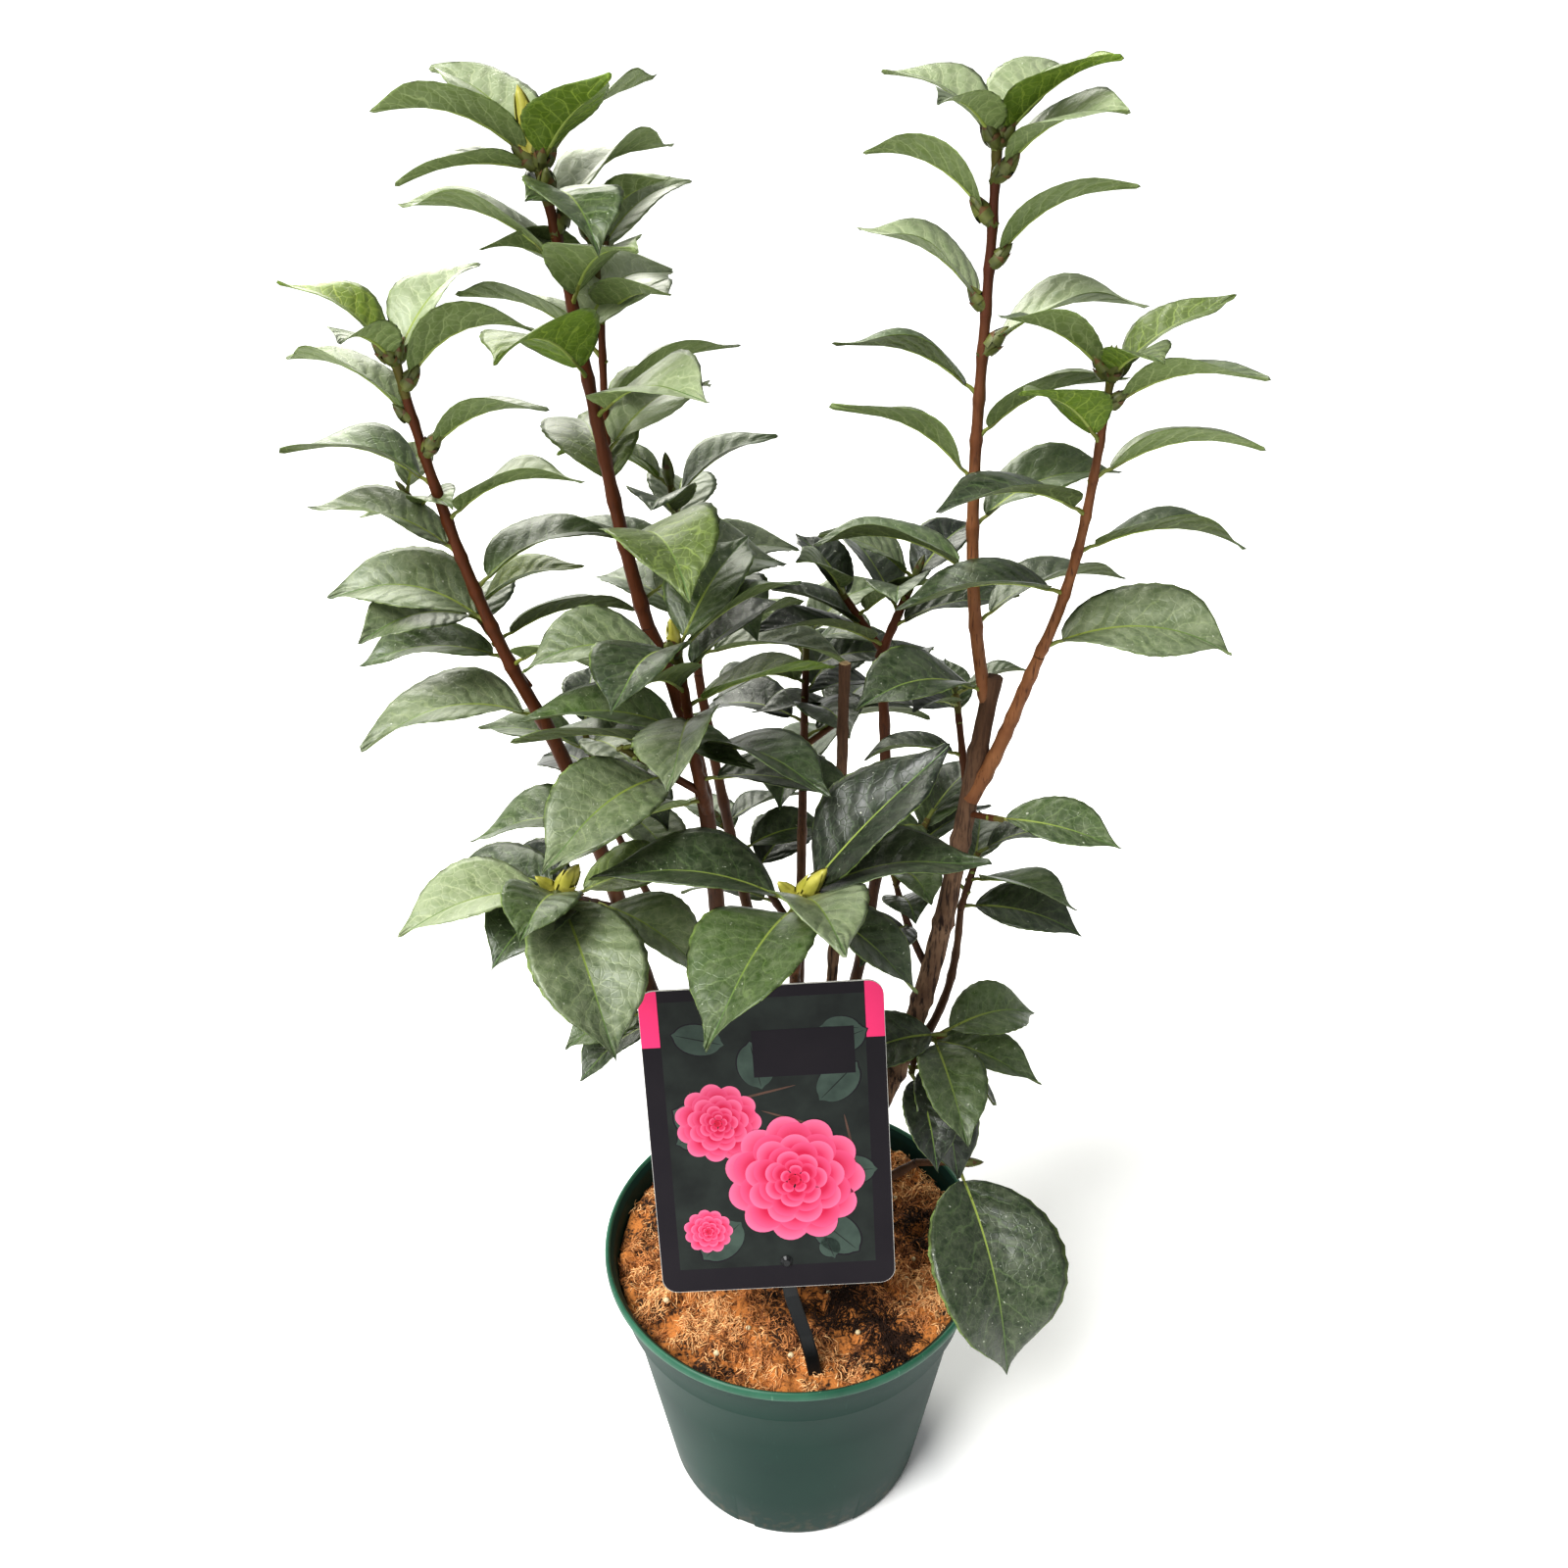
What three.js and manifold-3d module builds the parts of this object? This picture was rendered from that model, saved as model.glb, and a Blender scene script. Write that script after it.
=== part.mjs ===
// Camellia shrub in its green nursery pot, with a picture label on a strap.
// Millimetres, +Z up. The pot's underside lies on z = 0 and its axis is x = y = 0.
// The label side faces -Y.
import * as THREE from 'three';
import { mergeVertices } from 'three/addons/utils/BufferGeometryUtils.js';
import Module from 'manifold-3d';

const GAP = 0.3; // clearance between pieces that touch

// ---------------------------------------------------------------- driving sizes
const POT = {
  height: 145, lipRadius: 95, lipDepth: 4.6, mouthRadius: 87.8,
  bandTop: 89.5, bandFoot: 87, bandBottom: 118, step: 2,
  wallTop: 85, baseRadius: 67.3, standRadius: 64, wall: 1.8, floor: 2.2, facets: 40,
  notches: 8, notchWide: 9, notchHigh: 3.6,
};
const MEDIUM = { level: 137, flat: 16, lump: 3, shoulder: 131 };
const CARD = {
  wide: 105, high: 147, thick: 1, corner: 7, centre: [-10.5, -45.5, 248.4],
  lean: 13.7, roll: 2.8, pinDrop: 60, pinRadius: 1.6,
};
const STRAP = { wide: 6.5, thick: 1.8, foot: [11, -78, 124] };

// Leaf: a short stalk, an elliptic pointed blade folded along its midrib.
const LEAF = {
  stalk: 0.11, stalkRadius: 0.95, slender: 0.54, fold: 17, thick: 1.1, steps: 24,
  stations: [0.13, 0.45, 0.8],
};
const CLEAR = 5.2; // least distance between sampled points of different masses
const OWN_CLEAR = 4; // and between the leaves of one mass
const TURNS = [0, 24, -24, 48, -48, 72, -72]; // tried in turn for a leaf that is not clear
const SMOOTHING = 0.08; // small facets left by fusing are merged within this
const TWIG_SIDES = 4;
const LIMB_SIDES = 8;

// Bark pieces: a course from foot to top, its sideways bow in x and in y at one and
// two thirds of the way, and its radii. `on` is the piece it rises from.
const LIMBS = {
  trunk: { from: [1, 3, 137.3], to: [2, 3, 202], r: [8, 6.2], flare: 0.35 },
  stem_left: { on: 'trunk', from: [-1, 3, 158], to: [-98, 0, 427], bow: [-38, 0, 0, 0], r: [4.6, 3] },
  stem_centre_left: {
    on: 'trunk', from: [0, 3, 178], to: [-55, -5, 473], bow: [-35, 23, 0, 0], r: [4.4, 2.9],
  },
  stem_right: { on: 'trunk', from: [4, 3, 152], to: [81.5, 5, 447], bow: [39, 11.5, 0, 0], r: [5.6, 3.6] },
  stem_right_outer: {
    on: 'stem_right', from: [75, 4, 392], to: [96, -8, 461], bow: [3.6, 0.5, 0, 0], r: [3.1, 2.3],
  },
  stem_right_low: {
    on: 'stem_right', from: [44, 6, 236], to: [77, 22, 324], bow: [20, 10, 4, 2], r: [2.2, 1.6],
  },
  stem_back_right: { on: 'trunk', from: [6, 6, 190], to: [37.8, 40, 440], bow: [11.5, 23, 0, 0], r: [3.2, 2.2] },
  stem_back: { on: 'trunk', from: [1, 8, 162], to: [6, 78, 356], bow: [0, 0, 6, 8], r: [3.2, 2.1] },
  stem_back_left: { on: 'trunk', from: [2, 8, 197], to: [-40, 48, 430], bow: [2, -4, 6, 8], r: [3, 2.1] },
  stem_left_low: { on: 'trunk', from: [-3, 8, 172], to: [-78, 30, 361], bow: [14, -4, 8, 4], r: [2.4, 1.6] },
  stem_front: { on: 'trunk', from: [0, -1, 184], to: [1, -56, 377], bow: [1, 0, 20, 34], r: [3, 2.2] },
  stem_low_right: { on: 'trunk', from: [4, -3, 144], to: [58, -14, 204], bow: [-4, -4, -2, 0], r: [2.4, 1.9] },
  pruned_stem: { on: 'trunk', from: [4, 2, 193], to: [21, -6, 458], bow: [13, 4, 4, 2], r: [2.7, 2.2] },
};

// Leafy shoots by mass. The first shoot is the mass's stem and meets the piece named in
// `on`; the others rise from it. az is where the first leaf points (0 right, 90 back,
// 180 left, 270 front), turn the step to the next, lift and droop the angles above the
// level at which a leaf starts and through which it sinks; loose scales its scatter.
const MASSES = {
  foliage_left_leader: {
    on: 'stem_left', seed: 11, shoots: [
      {
        from: [-98, 0, 427.4], to: [-137, -8, 575], bow: [-10, -6, 0, 0], r: [2.8, 1.5],
        leaves: 11, first: 0.03, long: 63, az: 186, turn: 178, lift: 44, droop: 78, bud: 13, buds: 6,
      },
      {
        from: [-122, -4, 500], to: [-146, 14, 521], r: [1.4, 1],
        leaves: 3, first: 0.45, long: 36, az: 150, turn: 140, lift: 35, droop: 60, bud: 7, buds: 0,
      },
      {
        from: [-104, 0, 446], to: [-128, 20, 472], r: [1.6, 1.1],
        leaves: 5, first: 0.35, long: 62, az: 176, turn: 140, lift: 26, droop: 64, bud: 0, buds: 0,
      },
    ],
  },
  foliage_centre_left_leader: {
    on: 'stem_centre_left', seed: 23, shoots: [
      {
        from: [-55, -5, 473.4], to: [-82, -5, 636], bow: [-4, 2, 0, 0], r: [2.8, 1.6],
        leaves: 12, first: 0.06, long: 68, az: 65, turn: 240, lift: 42, droop: 70, bud: 17, buds: 7,
      },
      {
        from: [-62, -4, 506], to: [-69, 18, 611], bow: [-8, 2, 6, 6], r: [1.7, 1.1],
        leaves: 6, first: 0.45, long: 60, az: 10, turn: 185, lift: 40, droop: 62, bud: 10, buds: 3,
      },
    ],
  },
  foliage_back_left: {
    on: 'stem_back_left', seed: 31, shoots: [
      {
        from: [-40, 48, 430.4], to: [-48, 45, 515], bow: [2, 0, 2, 2], r: [2, 1.3],
        leaves: 10, first: 0.1, long: 62, az: 350, turn: 138, lift: 32, droop: 58, bud: 14, buds: 0,
      },
    ],
  },
  foliage_centre: {
    on: 'stem_centre_left', seed: 43, shoots: [
      {
        from: [-35, -5, 392], to: [-41, -45, 480], bow: [-1, 1, -4, -4], r: [2.5, 1.5],
        leaves: 11, first: 0.08, long: 68, az: 190, turn: 162, lift: 30, droop: 60, bud: 15, buds: 1,
      },
      {
        from: [-36, -12, 404], to: [-66, -26, 432], r: [1.8, 1.2],
        leaves: 4, first: 0.4, long: 70, az: 230, turn: 283, lift: 18, droop: 58, bud: 0, buds: 0,
      },
    ],
  },
  foliage_front: {
    on: 'stem_front', seed: 57, shoots: [
      {
        from: [1, -56.3, 377.2], to: [2, -75, 393], r: [2.1, 1.8],
        leaves: 5, first: 0.2, long: 82, az: 250, turn: 291, lift: 30, droop: 64, bud: 15, buds: 2,
        loose: 0.4,
      },
    ],
  },
  foliage_back_right: {
    on: 'stem_back_right', seed: 61, shoots: [
      {
        from: [37.8, 40, 440.4], to: [52, 46, 474], r: [2.1, 1.4],
        leaves: 6, first: 0.15, long: 56, az: 200, turn: 139, lift: 44, droop: 58, bud: 11, buds: 0,
      },
      {
        from: [39, 40.5, 444], to: [20, 48, 470], r: [1.7, 1.2],
        leaves: 5, first: 0.3, long: 46, az: 160, turn: 140, lift: 46, droop: 56, bud: 9, buds: 0,
      },
    ],
  },
  foliage_right_leader: {
    on: 'stem_right', seed: 71, shoots: [
      {
        from: [79, 5, 436], to: [68.5, 0, 642], bow: [-13.5, -1.6, 0, 0], r: [2.7, 1.5],
        leaves: 13, first: 0.02, long: 62, az: 184, turn: 177, lift: 48, droop: 70, bud: 12, buds: 9,
      },
    ],
  },
  foliage_right_outer: {
    on: 'stem_right_outer', seed: 83, shoots: [
      {
        from: [96, -8, 461.4], to: [108, -26, 571], bow: [8, 3, 0, 0], r: [2.2, 1.3],
        leaves: 8, first: 0.03, long: 62, az: 352, turn: 182, lift: 36, droop: 62, bud: 10, buds: 4,
      },
    ],
  },
  foliage_right_inner: {
    on: 'stem_right', seed: 97, shoots: [
      {
        from: [74.5, 8, 390], to: [69, 22, 432], r: [1.8, 1.2],
        leaves: 5, first: 0.4, long: 42, az: 170, turn: 140, lift: 34, droop: 58, bud: 8, buds: 0,
      },
      {
        from: [74, 5, 384], to: [86, -13, 391], r: [1.5, 1.1],
        leaves: 2, first: 0.7, long: 60, az: 352, turn: 66, lift: 0, droop: 34, bud: 0, buds: 0,
      },
    ],
  },
  foliage_right_mid: {
    on: 'stem_right', seed: 109, shoots: [
      {
        from: [63, 5, 300], to: [44, 16, 352], bow: [-4, -2, 0, 0], r: [1.9, 1.2],
        leaves: 10, first: 0.2, long: 50, az: 300, turn: 139, lift: 24, droop: 56, bud: 0, buds: 0,
      },
      {
        from: [46, 14, 342], to: [60, 22, 372], r: [1.5, 1.1],
        leaves: 4, first: 0.5, long: 52, az: 340, turn: 139, lift: 30, droop: 56, bud: 0, buds: 0,
      },
    ],
  },
  foliage_right_low: {
    on: 'stem_right_low', seed: 101, shoots: [
      {
        from: [77, 22, 324.4], to: [84, 26, 352], r: [1.6, 1.2],
        leaves: 6, first: 0.05, long: 52, az: 350, turn: 150, lift: 22, droop: 50, bud: 0, buds: 0,
      },
    ],
  },
  foliage_right_base: {
    on: 'stem_right', seed: 113, shoots: [
      {
        from: [54, 5, 262], to: [68, -8, 276], r: [2, 1.3],
        leaves: 5, first: 0.35, long: 62, az: 355, turn: 144, lift: 12, droop: 56, bud: 0, buds: 0,
      },
      {
        from: [58, 1, 266], to: [54, -14, 258], r: [1.5, 1.1],
        leaves: 3, first: 0.5, long: 60, az: 262, turn: 52, lift: -6, droop: 78, bud: 0, buds: 0,
      },
    ],
  },
  foliage_low_right: {
    on: 'stem_low_right', seed: 127, slender: 0.66, shoots: [
      {
        from: [58.3, -14, 204.2], to: [77, -21, 211], r: [1.8, 1.4],
        leaves: 1, first: 0.95, long: 120, az: 284, turn: 0, lift: -16, droop: 82, bud: 13, buds: 0,
        loose: 0,
      },
    ],
  },
  foliage_left_low: {
    on: 'stem_left', seed: 131, slender: 0.6, shoots: [
      {
        from: [-76, 1, 340], to: [-93, -40, 374], r: [1.9, 1.4],
        leaves: 6, first: 0.4, long: 64, az: 330, turn: 138, lift: 20, droop: 66, bud: 9, buds: 3,
      },
    ],
  },
  foliage_left_inner: {
    on: 'stem_left_low', seed: 149, shoots: [
      {
        from: [-78, 30, 361.4], to: [-92, 48, 404], r: [1.6, 1.2],
        leaves: 8, first: 0.04, long: 60, az: 200, turn: 139, lift: 22, droop: 56, bud: 0, buds: 0,
      },
    ],
  },
  foliage_left_base: {
    on: 'stem_left', seed: 157, shoots: [
      {
        from: [-50, 3, 262], to: [-66, -6, 290], r: [1.9, 1.3],
        leaves: 7, first: 0.25, long: 52, az: 200, turn: 142, lift: 6, droop: 60, bud: 0, buds: 0,
      },
    ],
  },
  foliage_back: {
    on: 'stem_back', seed: 163, shoots: [
      {
        from: [6, 78.3, 356.3], to: [8, 96, 428], bow: [0, 0, 4, 4], r: [2, 1.3],
        leaves: 11, first: 0.06, long: 62, az: 90, turn: 140, lift: 26, droop: 58, bud: 11, buds: 0,
      },
      {
        from: [6, 84, 376], to: [46, 104, 398], r: [1.7, 1.2],
        leaves: 5, first: 0.4, long: 58, az: 30, turn: 139, lift: 22, droop: 56, bud: 9, buds: 0,
      },
    ],
  },
  foliage_back_low: {
    on: 'stem_back', seed: 173, shoots: [
      {
        from: [4, 52, 288], to: [-34, 92, 330], r: [2, 1.3],
        leaves: 8, first: 0.3, long: 58, az: 150, turn: 138, lift: 18, droop: 54, bud: 9, buds: 0,
      },
    ],
  },
};

const COLOURS = {
  pot: ['#2f5b4b', 0.55], growing_medium: ['#8a5a30', 0.95], label_card: ['#2b2730', 0.4],
  label_strap: ['#16181a', 0.5], bark: ['#6d4a3a', 0.8], foliage: ['#3d5a3e', 0.5],
};

// ---------------------------------------------------------------- small helpers
const rad = THREE.MathUtils.degToRad;
const vec = (p) => new THREE.Vector3(p[0], p[1], p[2]);
const wasm = await Module();
wasm.setup();

// The same sequence of numbers from 0 to 1 for the same seed.
function seeded(seed) {
  let state = seed * 7919 + 17;
  return () => {
    state = (state * 16807) % 2147483647;
    return state / 2147483647;
  };
}

// Closed skin over rings with equal counts of points; a one-point ring ends in a tip.
function skin(rings) {
  const points = rings.flat();
  const starts = [];
  let count = 0;
  for (const ring of rings) {
    starts.push(count);
    count += ring.length;
  }
  const faces = [];
  for (let i = 0; i + 1 < rings.length; i += 1) {
    const n = rings[i].length;
    const tip = rings[i + 1].length === 1;
    for (let k = 0; k < n; k += 1) {
      const a = starts[i] + k;
      const b = starts[i] + ((k + 1) % n);
      const c = starts[i + 1] + (tip ? 0 : k);
      const d = starts[i + 1] + (tip ? 0 : (k + 1) % n);
      faces.push([a, b, c]);
      if (!tip) faces.push([b, d, c]);
    }
  }
  for (let k = 1; k + 1 < rings[0].length; k += 1) faces.push([0, k + 1, k]);
  const last = rings.at(-1);
  const end = starts.at(-1);
  for (let k = 1; k + 1 < last.length; k += 1) faces.push([end, end + k, end + k + 1]);
  const geometry = new THREE.BufferGeometry();
  geometry.setAttribute('position', new THREE.Float32BufferAttribute(points.flatMap((p) => [p.x, p.y, p.z]), 3));
  geometry.setIndex(faces.flat());
  return geometry;
}

function solid(geometry) {
  const bare = geometry.clone();
  bare.deleteAttribute('normal');
  bare.deleteAttribute('uv');
  const joined = mergeVertices(bare, 1e-5);
  return new wasm.Manifold(new wasm.Mesh({
    numProp: 3,
    vertProperties: new Float32Array(joined.attributes.position.array),
    triVerts: new Uint32Array(joined.index.array),
  }));
}

// The largest body of a solid, without loose scraps.
function largest(body) {
  const pieces = body.decompose();
  return pieces.reduce((best, piece) => (piece.volume() > best.volume() ? piece : best));
}

function meshOf(name, body, colour) {
  const data = body.getMesh();
  const geometry = new THREE.BufferGeometry();
  geometry.setAttribute('position', new THREE.Float32BufferAttribute(data.vertProperties, 3));
  geometry.setIndex(Array.from(data.triVerts));
  geometry.computeVertexNormals();
  const material = new THREE.MeshStandardMaterial({
    name: `${name}_material`, color: colour[0], roughness: colour[1], metalness: 0,
  });
  const mesh = new THREE.Mesh(geometry, material);
  mesh.name = name;
  return mesh;
}

// ---------------------------------------------------------------- limbs
function course(row) {
  const [x1, x2, y1, y2] = row.bow ?? [0, 0, 0, 0];
  const a = vec(row.from);
  const b = vec(row.to);
  const inner1 = a.clone().lerp(b, 1 / 3).add(new THREE.Vector3(x1, y1, 0));
  const inner2 = a.clone().lerp(b, 2 / 3).add(new THREE.Vector3(x2, y2, 0));
  return new THREE.CubicBezierCurve3(a, inner1, inner2, b);
}

function radiusAt(row, t) {
  const flare = 1 + (row.flare ?? 0) * Math.exp(-9 * t);
  return (row.r[0] + (row.r[1] - row.r[0]) * t) * flare;
}

// A tapering limb along its course; `grow` thickens and lengthens it all round.
function limb(row, sides, grow = 0) {
  const curve = course(row);
  const chord = vec(row.to).sub(vec(row.from)).normalize();
  const ref = Math.abs(chord.y) < 0.8 ? new THREE.Vector3(0, 1, 0) : new THREE.Vector3(1, 0, 0);
  const count = Math.max(3, Math.round(curve.getLength() / 32));
  const rings = [];
  for (let i = 0; i <= count; i += 1) {
    const t = i / count;
    const tangent = curve.getTangent(t).normalize();
    const side = tangent.clone().cross(ref).normalize();
    const up = side.clone().cross(tangent).normalize();
    const centre = curve.getPoint(t);
    if (i === 0) centre.addScaledVector(tangent, -grow);
    if (i === count) centre.addScaledVector(tangent, grow);
    const radius = radiusAt(row, t) + grow / Math.cos(Math.PI / sides);
    const ring = [];
    for (let k = 0; k < sides; k += 1) {
      const angle = (2 * Math.PI * k) / sides;
      const out = side.clone().multiplyScalar(Math.cos(angle)).addScaledVector(up, -Math.sin(angle));
      ring.push(centre.clone().addScaledVector(out, radius));
    }
    rings.push(ring);
  }
  return solid(skin(rings));
}

// ---------------------------------------------------------------- leaves and buds
function bladeWidth(u) {
  return Math.sin(Math.PI * u ** 0.85) ** 0.8 * (1 - 0.35 * u ** 6);
}

// The midrib as it arches over and sinks: point, heading and facing at each step.
function midrib(leaf) {
  const spine = [];
  const at = leaf.base.clone();
  for (let i = 0; i <= LEAF.steps; i += 1) {
    const f = i / LEAF.steps;
    const az = rad(leaf.az + leaf.sweep * f);
    const el = rad(leaf.lift - leaf.droop * f ** 1.25);
    const roll = rad(leaf.roll);
    const level = new THREE.Vector3(Math.cos(az), Math.sin(az), 0);
    const along = level.clone().multiplyScalar(Math.cos(el)).setZ(Math.sin(el));
    const flat = new THREE.Vector3(-Math.sin(az), Math.cos(az), 0);
    const face = level.clone().multiplyScalar(-Math.sin(el)).setZ(Math.cos(el));
    const side = flat.clone().multiplyScalar(Math.cos(roll)).addScaledVector(face, Math.sin(roll));
    const up = side.clone().cross(along).multiplyScalar(-1).normalize();
    spine.push({ f, at: at.clone(), along, side, up });
    at.addScaledVector(along, leaf.long / LEAF.steps);
  }
  return spine;
}

function spineAt(spine, f) {
  return spine[Math.round(f * LEAF.steps)];
}

function bladeEdge(leaf, s, u, across) {
  const half = 0.5 * leaf.wide * bladeWidth(u) * across;
  const fold = rad(LEAF.fold);
  return s.at.clone()
    .addScaledVector(s.side, half * Math.cos(fold))
    .addScaledVector(s.up, Math.abs(half) * Math.sin(fold));
}

function leafSolid(leaf) {
  const spine = midrib(leaf);
  const cut = (s, half, lift, thick) => [
    s.at.clone().addScaledVector(s.side, half).addScaledVector(s.up, lift),
    s.at.clone().addScaledVector(s.up, thick / 2),
    s.at.clone().addScaledVector(s.side, -half).addScaledVector(s.up, lift),
    s.at.clone().addScaledVector(s.up, -thick / 2),
  ];
  const stalk = 2 * LEAF.stalkRadius;
  const rings = [cut(spine[0], LEAF.stalkRadius, 0, stalk)];
  for (const u of LEAF.stations) {
    const s = spineAt(spine, LEAF.stalk + (1 - LEAF.stalk) * u);
    const half = 0.5 * leaf.wide * bladeWidth(u);
    const fold = rad(LEAF.fold);
    rings.push(cut(s, half * Math.cos(fold), half * Math.sin(fold), LEAF.thick));
  }
  rings.push([spine.at(-1).at.clone()]);
  return solid(skin(rings));
}

// Points spread over a blade, for keeping masses apart.
function leafSamples(leaf) {
  const spine = midrib(leaf);
  const points = [];
  for (let i = 4; i <= LEAF.steps; i += 2) {
    const s = spine[i];
    const u = (s.f - LEAF.stalk) / (1 - LEAF.stalk);
    for (const across of [-1, -0.5, 0, 0.5, 1]) points.push(bladeEdge(leaf, s, u, across));
  }
  return points;
}

function budSolid(at, heading, long, wide) {
  const tip = at.clone().addScaledVector(heading, long);
  const ref = Math.abs(heading.z) < 0.8 ? new THREE.Vector3(0, 0, 1) : new THREE.Vector3(1, 0, 0);
  const side = heading.clone().cross(ref).normalize();
  const up = side.clone().cross(heading).normalize();
  const rings = [[-0.1, 0.6], [0.45, 1]].map(([f, w]) => {
    const centre = at.clone().lerp(tip, f);
    return [0, 1, 2].map((k) => {
      const a = (2 * Math.PI * k) / 3;
      const out = side.clone().multiplyScalar(Math.cos(a)).addScaledVector(up, -Math.sin(a));
      return centre.clone().addScaledVector(out, (w * wide) / 2);
    });
  });
  rings.push([tip]);
  return solid(skin(rings));
}

// ---------------------------------------------------------------- keeping clear
const taken = []; // { owner, at, radius }

function take(owner, points, radius, kind = 'limb') {
  for (const at of points) taken.push({ owner, at, radius, kind });
}

function takeLimb(owner, row) {
  const curve = course(row);
  const count = Math.round(curve.getLength() / 4);
  for (let i = 0; i <= count; i += 1) {
    take(owner, [curve.getPoint(i / count)], radiusAt(row, i / count));
  }
}

function isClear(owner, points) {
  const lowest = Math.min(...points.map((p) => (Math.hypot(p.x, p.y) < POT.lipRadius + 4 ? p.z : 1e3)));
  if (lowest < POT.height + 4) return false;
  for (const other of taken) {
    const own = other.owner === owner;
    if (own && other.kind !== 'leaf') continue;
    const near = own ? OWN_CLEAR : CLEAR + other.radius;
    for (const p of own ? points.slice(20) : points) {
      if (p.distanceToSquared(other.at) < near * near) return false;
    }
  }
  return true;
}

// The leaves of one shoot by the seeded rule, each turned aside or left out if not clear.
function growLeaves(owner, row, slender, random) {
  const curve = course(row);
  const leaves = [];
  for (let i = 0; i < row.leaves; i += 1) {
    const step = row.leaves === 1 ? 0 : (i / (row.leaves - 1)) ** 0.78;
    const f = row.first + (1 - row.first) * step;
    const t = Math.min(0.985, f);
    const [a, b, c, d, e] = [1, 2, 3, 4, 5].map(() => (random() - 0.5) * (row.loose ?? 1));
    const leaf = {
      t,
      base: curve.getPoint(t),
      az: row.az + row.turn * i + 26 * a,
      lift: row.lift + 14 * b + 24 * (f - 0.5),
      droop: row.droop + 20 * c,
      roll: 36 * d,
      sweep: 30 * e,
      long: row.long * (1.14 - 0.32 * f) * (1 + 0.16 * c),
    };
    leaf.wide = leaf.long * slender;
    const turn = TURNS.find((extra) => isClear(owner, leafSamples({ ...leaf, az: leaf.az + extra })));
    if (turn === undefined) continue;
    leaf.az += turn;
    take(owner, leafSamples(leaf).slice(20), 0, 'leaf');
    leaves.push(leaf);
  }
  return leaves;
}

function budsOf(row, leaves) {
  const curve = course(row);
  const buds = [];
  if (row.bud > 0) {
    buds.push({ at: curve.getPoint(1), heading: curve.getTangent(1).normalize(), long: row.bud, wide: 0.34 * row.bud });
  }
  for (const leaf of leaves.slice(Math.max(0, leaves.length - row.buds))) {
    const az = rad(leaf.az);
    const heading = curve.getTangent(leaf.t).normalize().multiplyScalar(1.1)
      .add(new THREE.Vector3(Math.cos(az), Math.sin(az), 0)).normalize();
    buds.push({ at: curve.getPoint(leaf.t), heading, long: 9, wide: 4 });
  }
  return buds;
}

// ---------------------------------------------------------------- pot, medium, label
function ringAt(radius, z, sides, wobble = () => [0, 0]) {
  return Array.from({ length: sides }, (_, k) => {
    const a = (2 * Math.PI * k) / sides;
    const [dr, dz] = wobble(a);
    return new THREE.Vector3((radius + dr) * Math.cos(a), (radius + dr) * Math.sin(a), z + dz);
  });
}

function potSolid() {
  const p = POT;
  const under = p.height - p.lipDepth;
  const profile = [
    [0, 0], [p.standRadius, 0], [p.baseRadius - 0.8, 1.2], [p.baseRadius, 3.6],
    [p.wallTop, p.bandBottom - p.step], [p.bandFoot, p.bandBottom], [p.bandTop, under],
    [p.lipRadius - 1.2, under - 0.4], [p.lipRadius, under + 1], [p.lipRadius, p.height - 1.2],
    [p.lipRadius - 1.2, p.height], [p.lipRadius - 2.8, p.height], [p.lipRadius - 3.8, p.height - 0.8],
    [p.lipRadius - 4.8, p.height - 0.1], [p.mouthRadius + 0.8, p.height], [p.mouthRadius, p.height - 1],
    [p.bandFoot - p.wall, p.bandBottom], [p.wallTop - p.wall, p.bandBottom - p.step],
    [p.baseRadius - p.wall, 4.4], [p.standRadius - 0.6, p.floor], [0, p.floor],
  ];
  const lathe = new THREE.LatheGeometry(profile.map(([r, z]) => new THREE.Vector2(r, z)), p.facets);
  lathe.rotateX(Math.PI / 2);
  lathe.rotateZ(Math.PI / p.facets);
  let body = solid(lathe);
  if (body.volume() < 0) throw new Error('pot profile runs the wrong way');
  for (let k = 0; k < p.notches; k += 1) {
    const notch = new THREE.BoxGeometry(12, p.notchWide, 2 * p.notchHigh);
    notch.translate(p.baseRadius - 1, 0, 0);
    notch.rotateZ((2 * Math.PI * (k + 0.5)) / p.notches);
    body = body.subtract(solid(notch));
  }
  return body;
}

function mediumSolid() {
  const p = POT;
  const n = p.facets;
  const random = seeded(5);
  const waves = Array.from({ length: 5 }, (_, k) => [k + 3 + Math.floor(3 * random()), 6.28 * random()]);
  const lump = (r) => (a) => {
    const swell = waves.reduce((sum, [m, phase]) => sum + Math.sin(m * a + phase + r / 9), 0);
    return [0, (MEDIUM.lump * swell) / waves.length - 0.6 * MEDIUM.lump];
  };
  const edge = (a) => [1.6 * Math.sin(5 * a + 1) - 1.8, 1.5 * Math.sin(7 * a)];
  const inner = (z) => p.wallTop - p.wall + ((z - p.bandBottom) * (p.bandTop - p.bandFoot)) / 22 + p.step;
  const rings = [
    ringAt(p.standRadius - 1.2, p.floor + GAP, n), ringAt(p.baseRadius - p.wall - 0.5, 4.8, n),
    ringAt(p.wallTop - p.wall - 0.5, p.bandBottom - p.step + 0.2, n),
    ringAt(p.bandFoot - p.wall - 0.5, p.bandBottom + 0.4, n),
    ringAt(inner(122) - 1, 122, n), ringAt(inner(126) - 3, MEDIUM.shoulder, n, edge),
    ...[74, 60, 46, 32].map((r) => ringAt(r, MEDIUM.level, n, lump(r))),
    ringAt(MEDIUM.flat, MEDIUM.level, n),
    [new THREE.Vector3(0, 0, MEDIUM.level)],
  ];
  const skinned = skin(rings);
  skinned.rotateZ(Math.PI / n);
  return solid(skinned);
}

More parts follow.
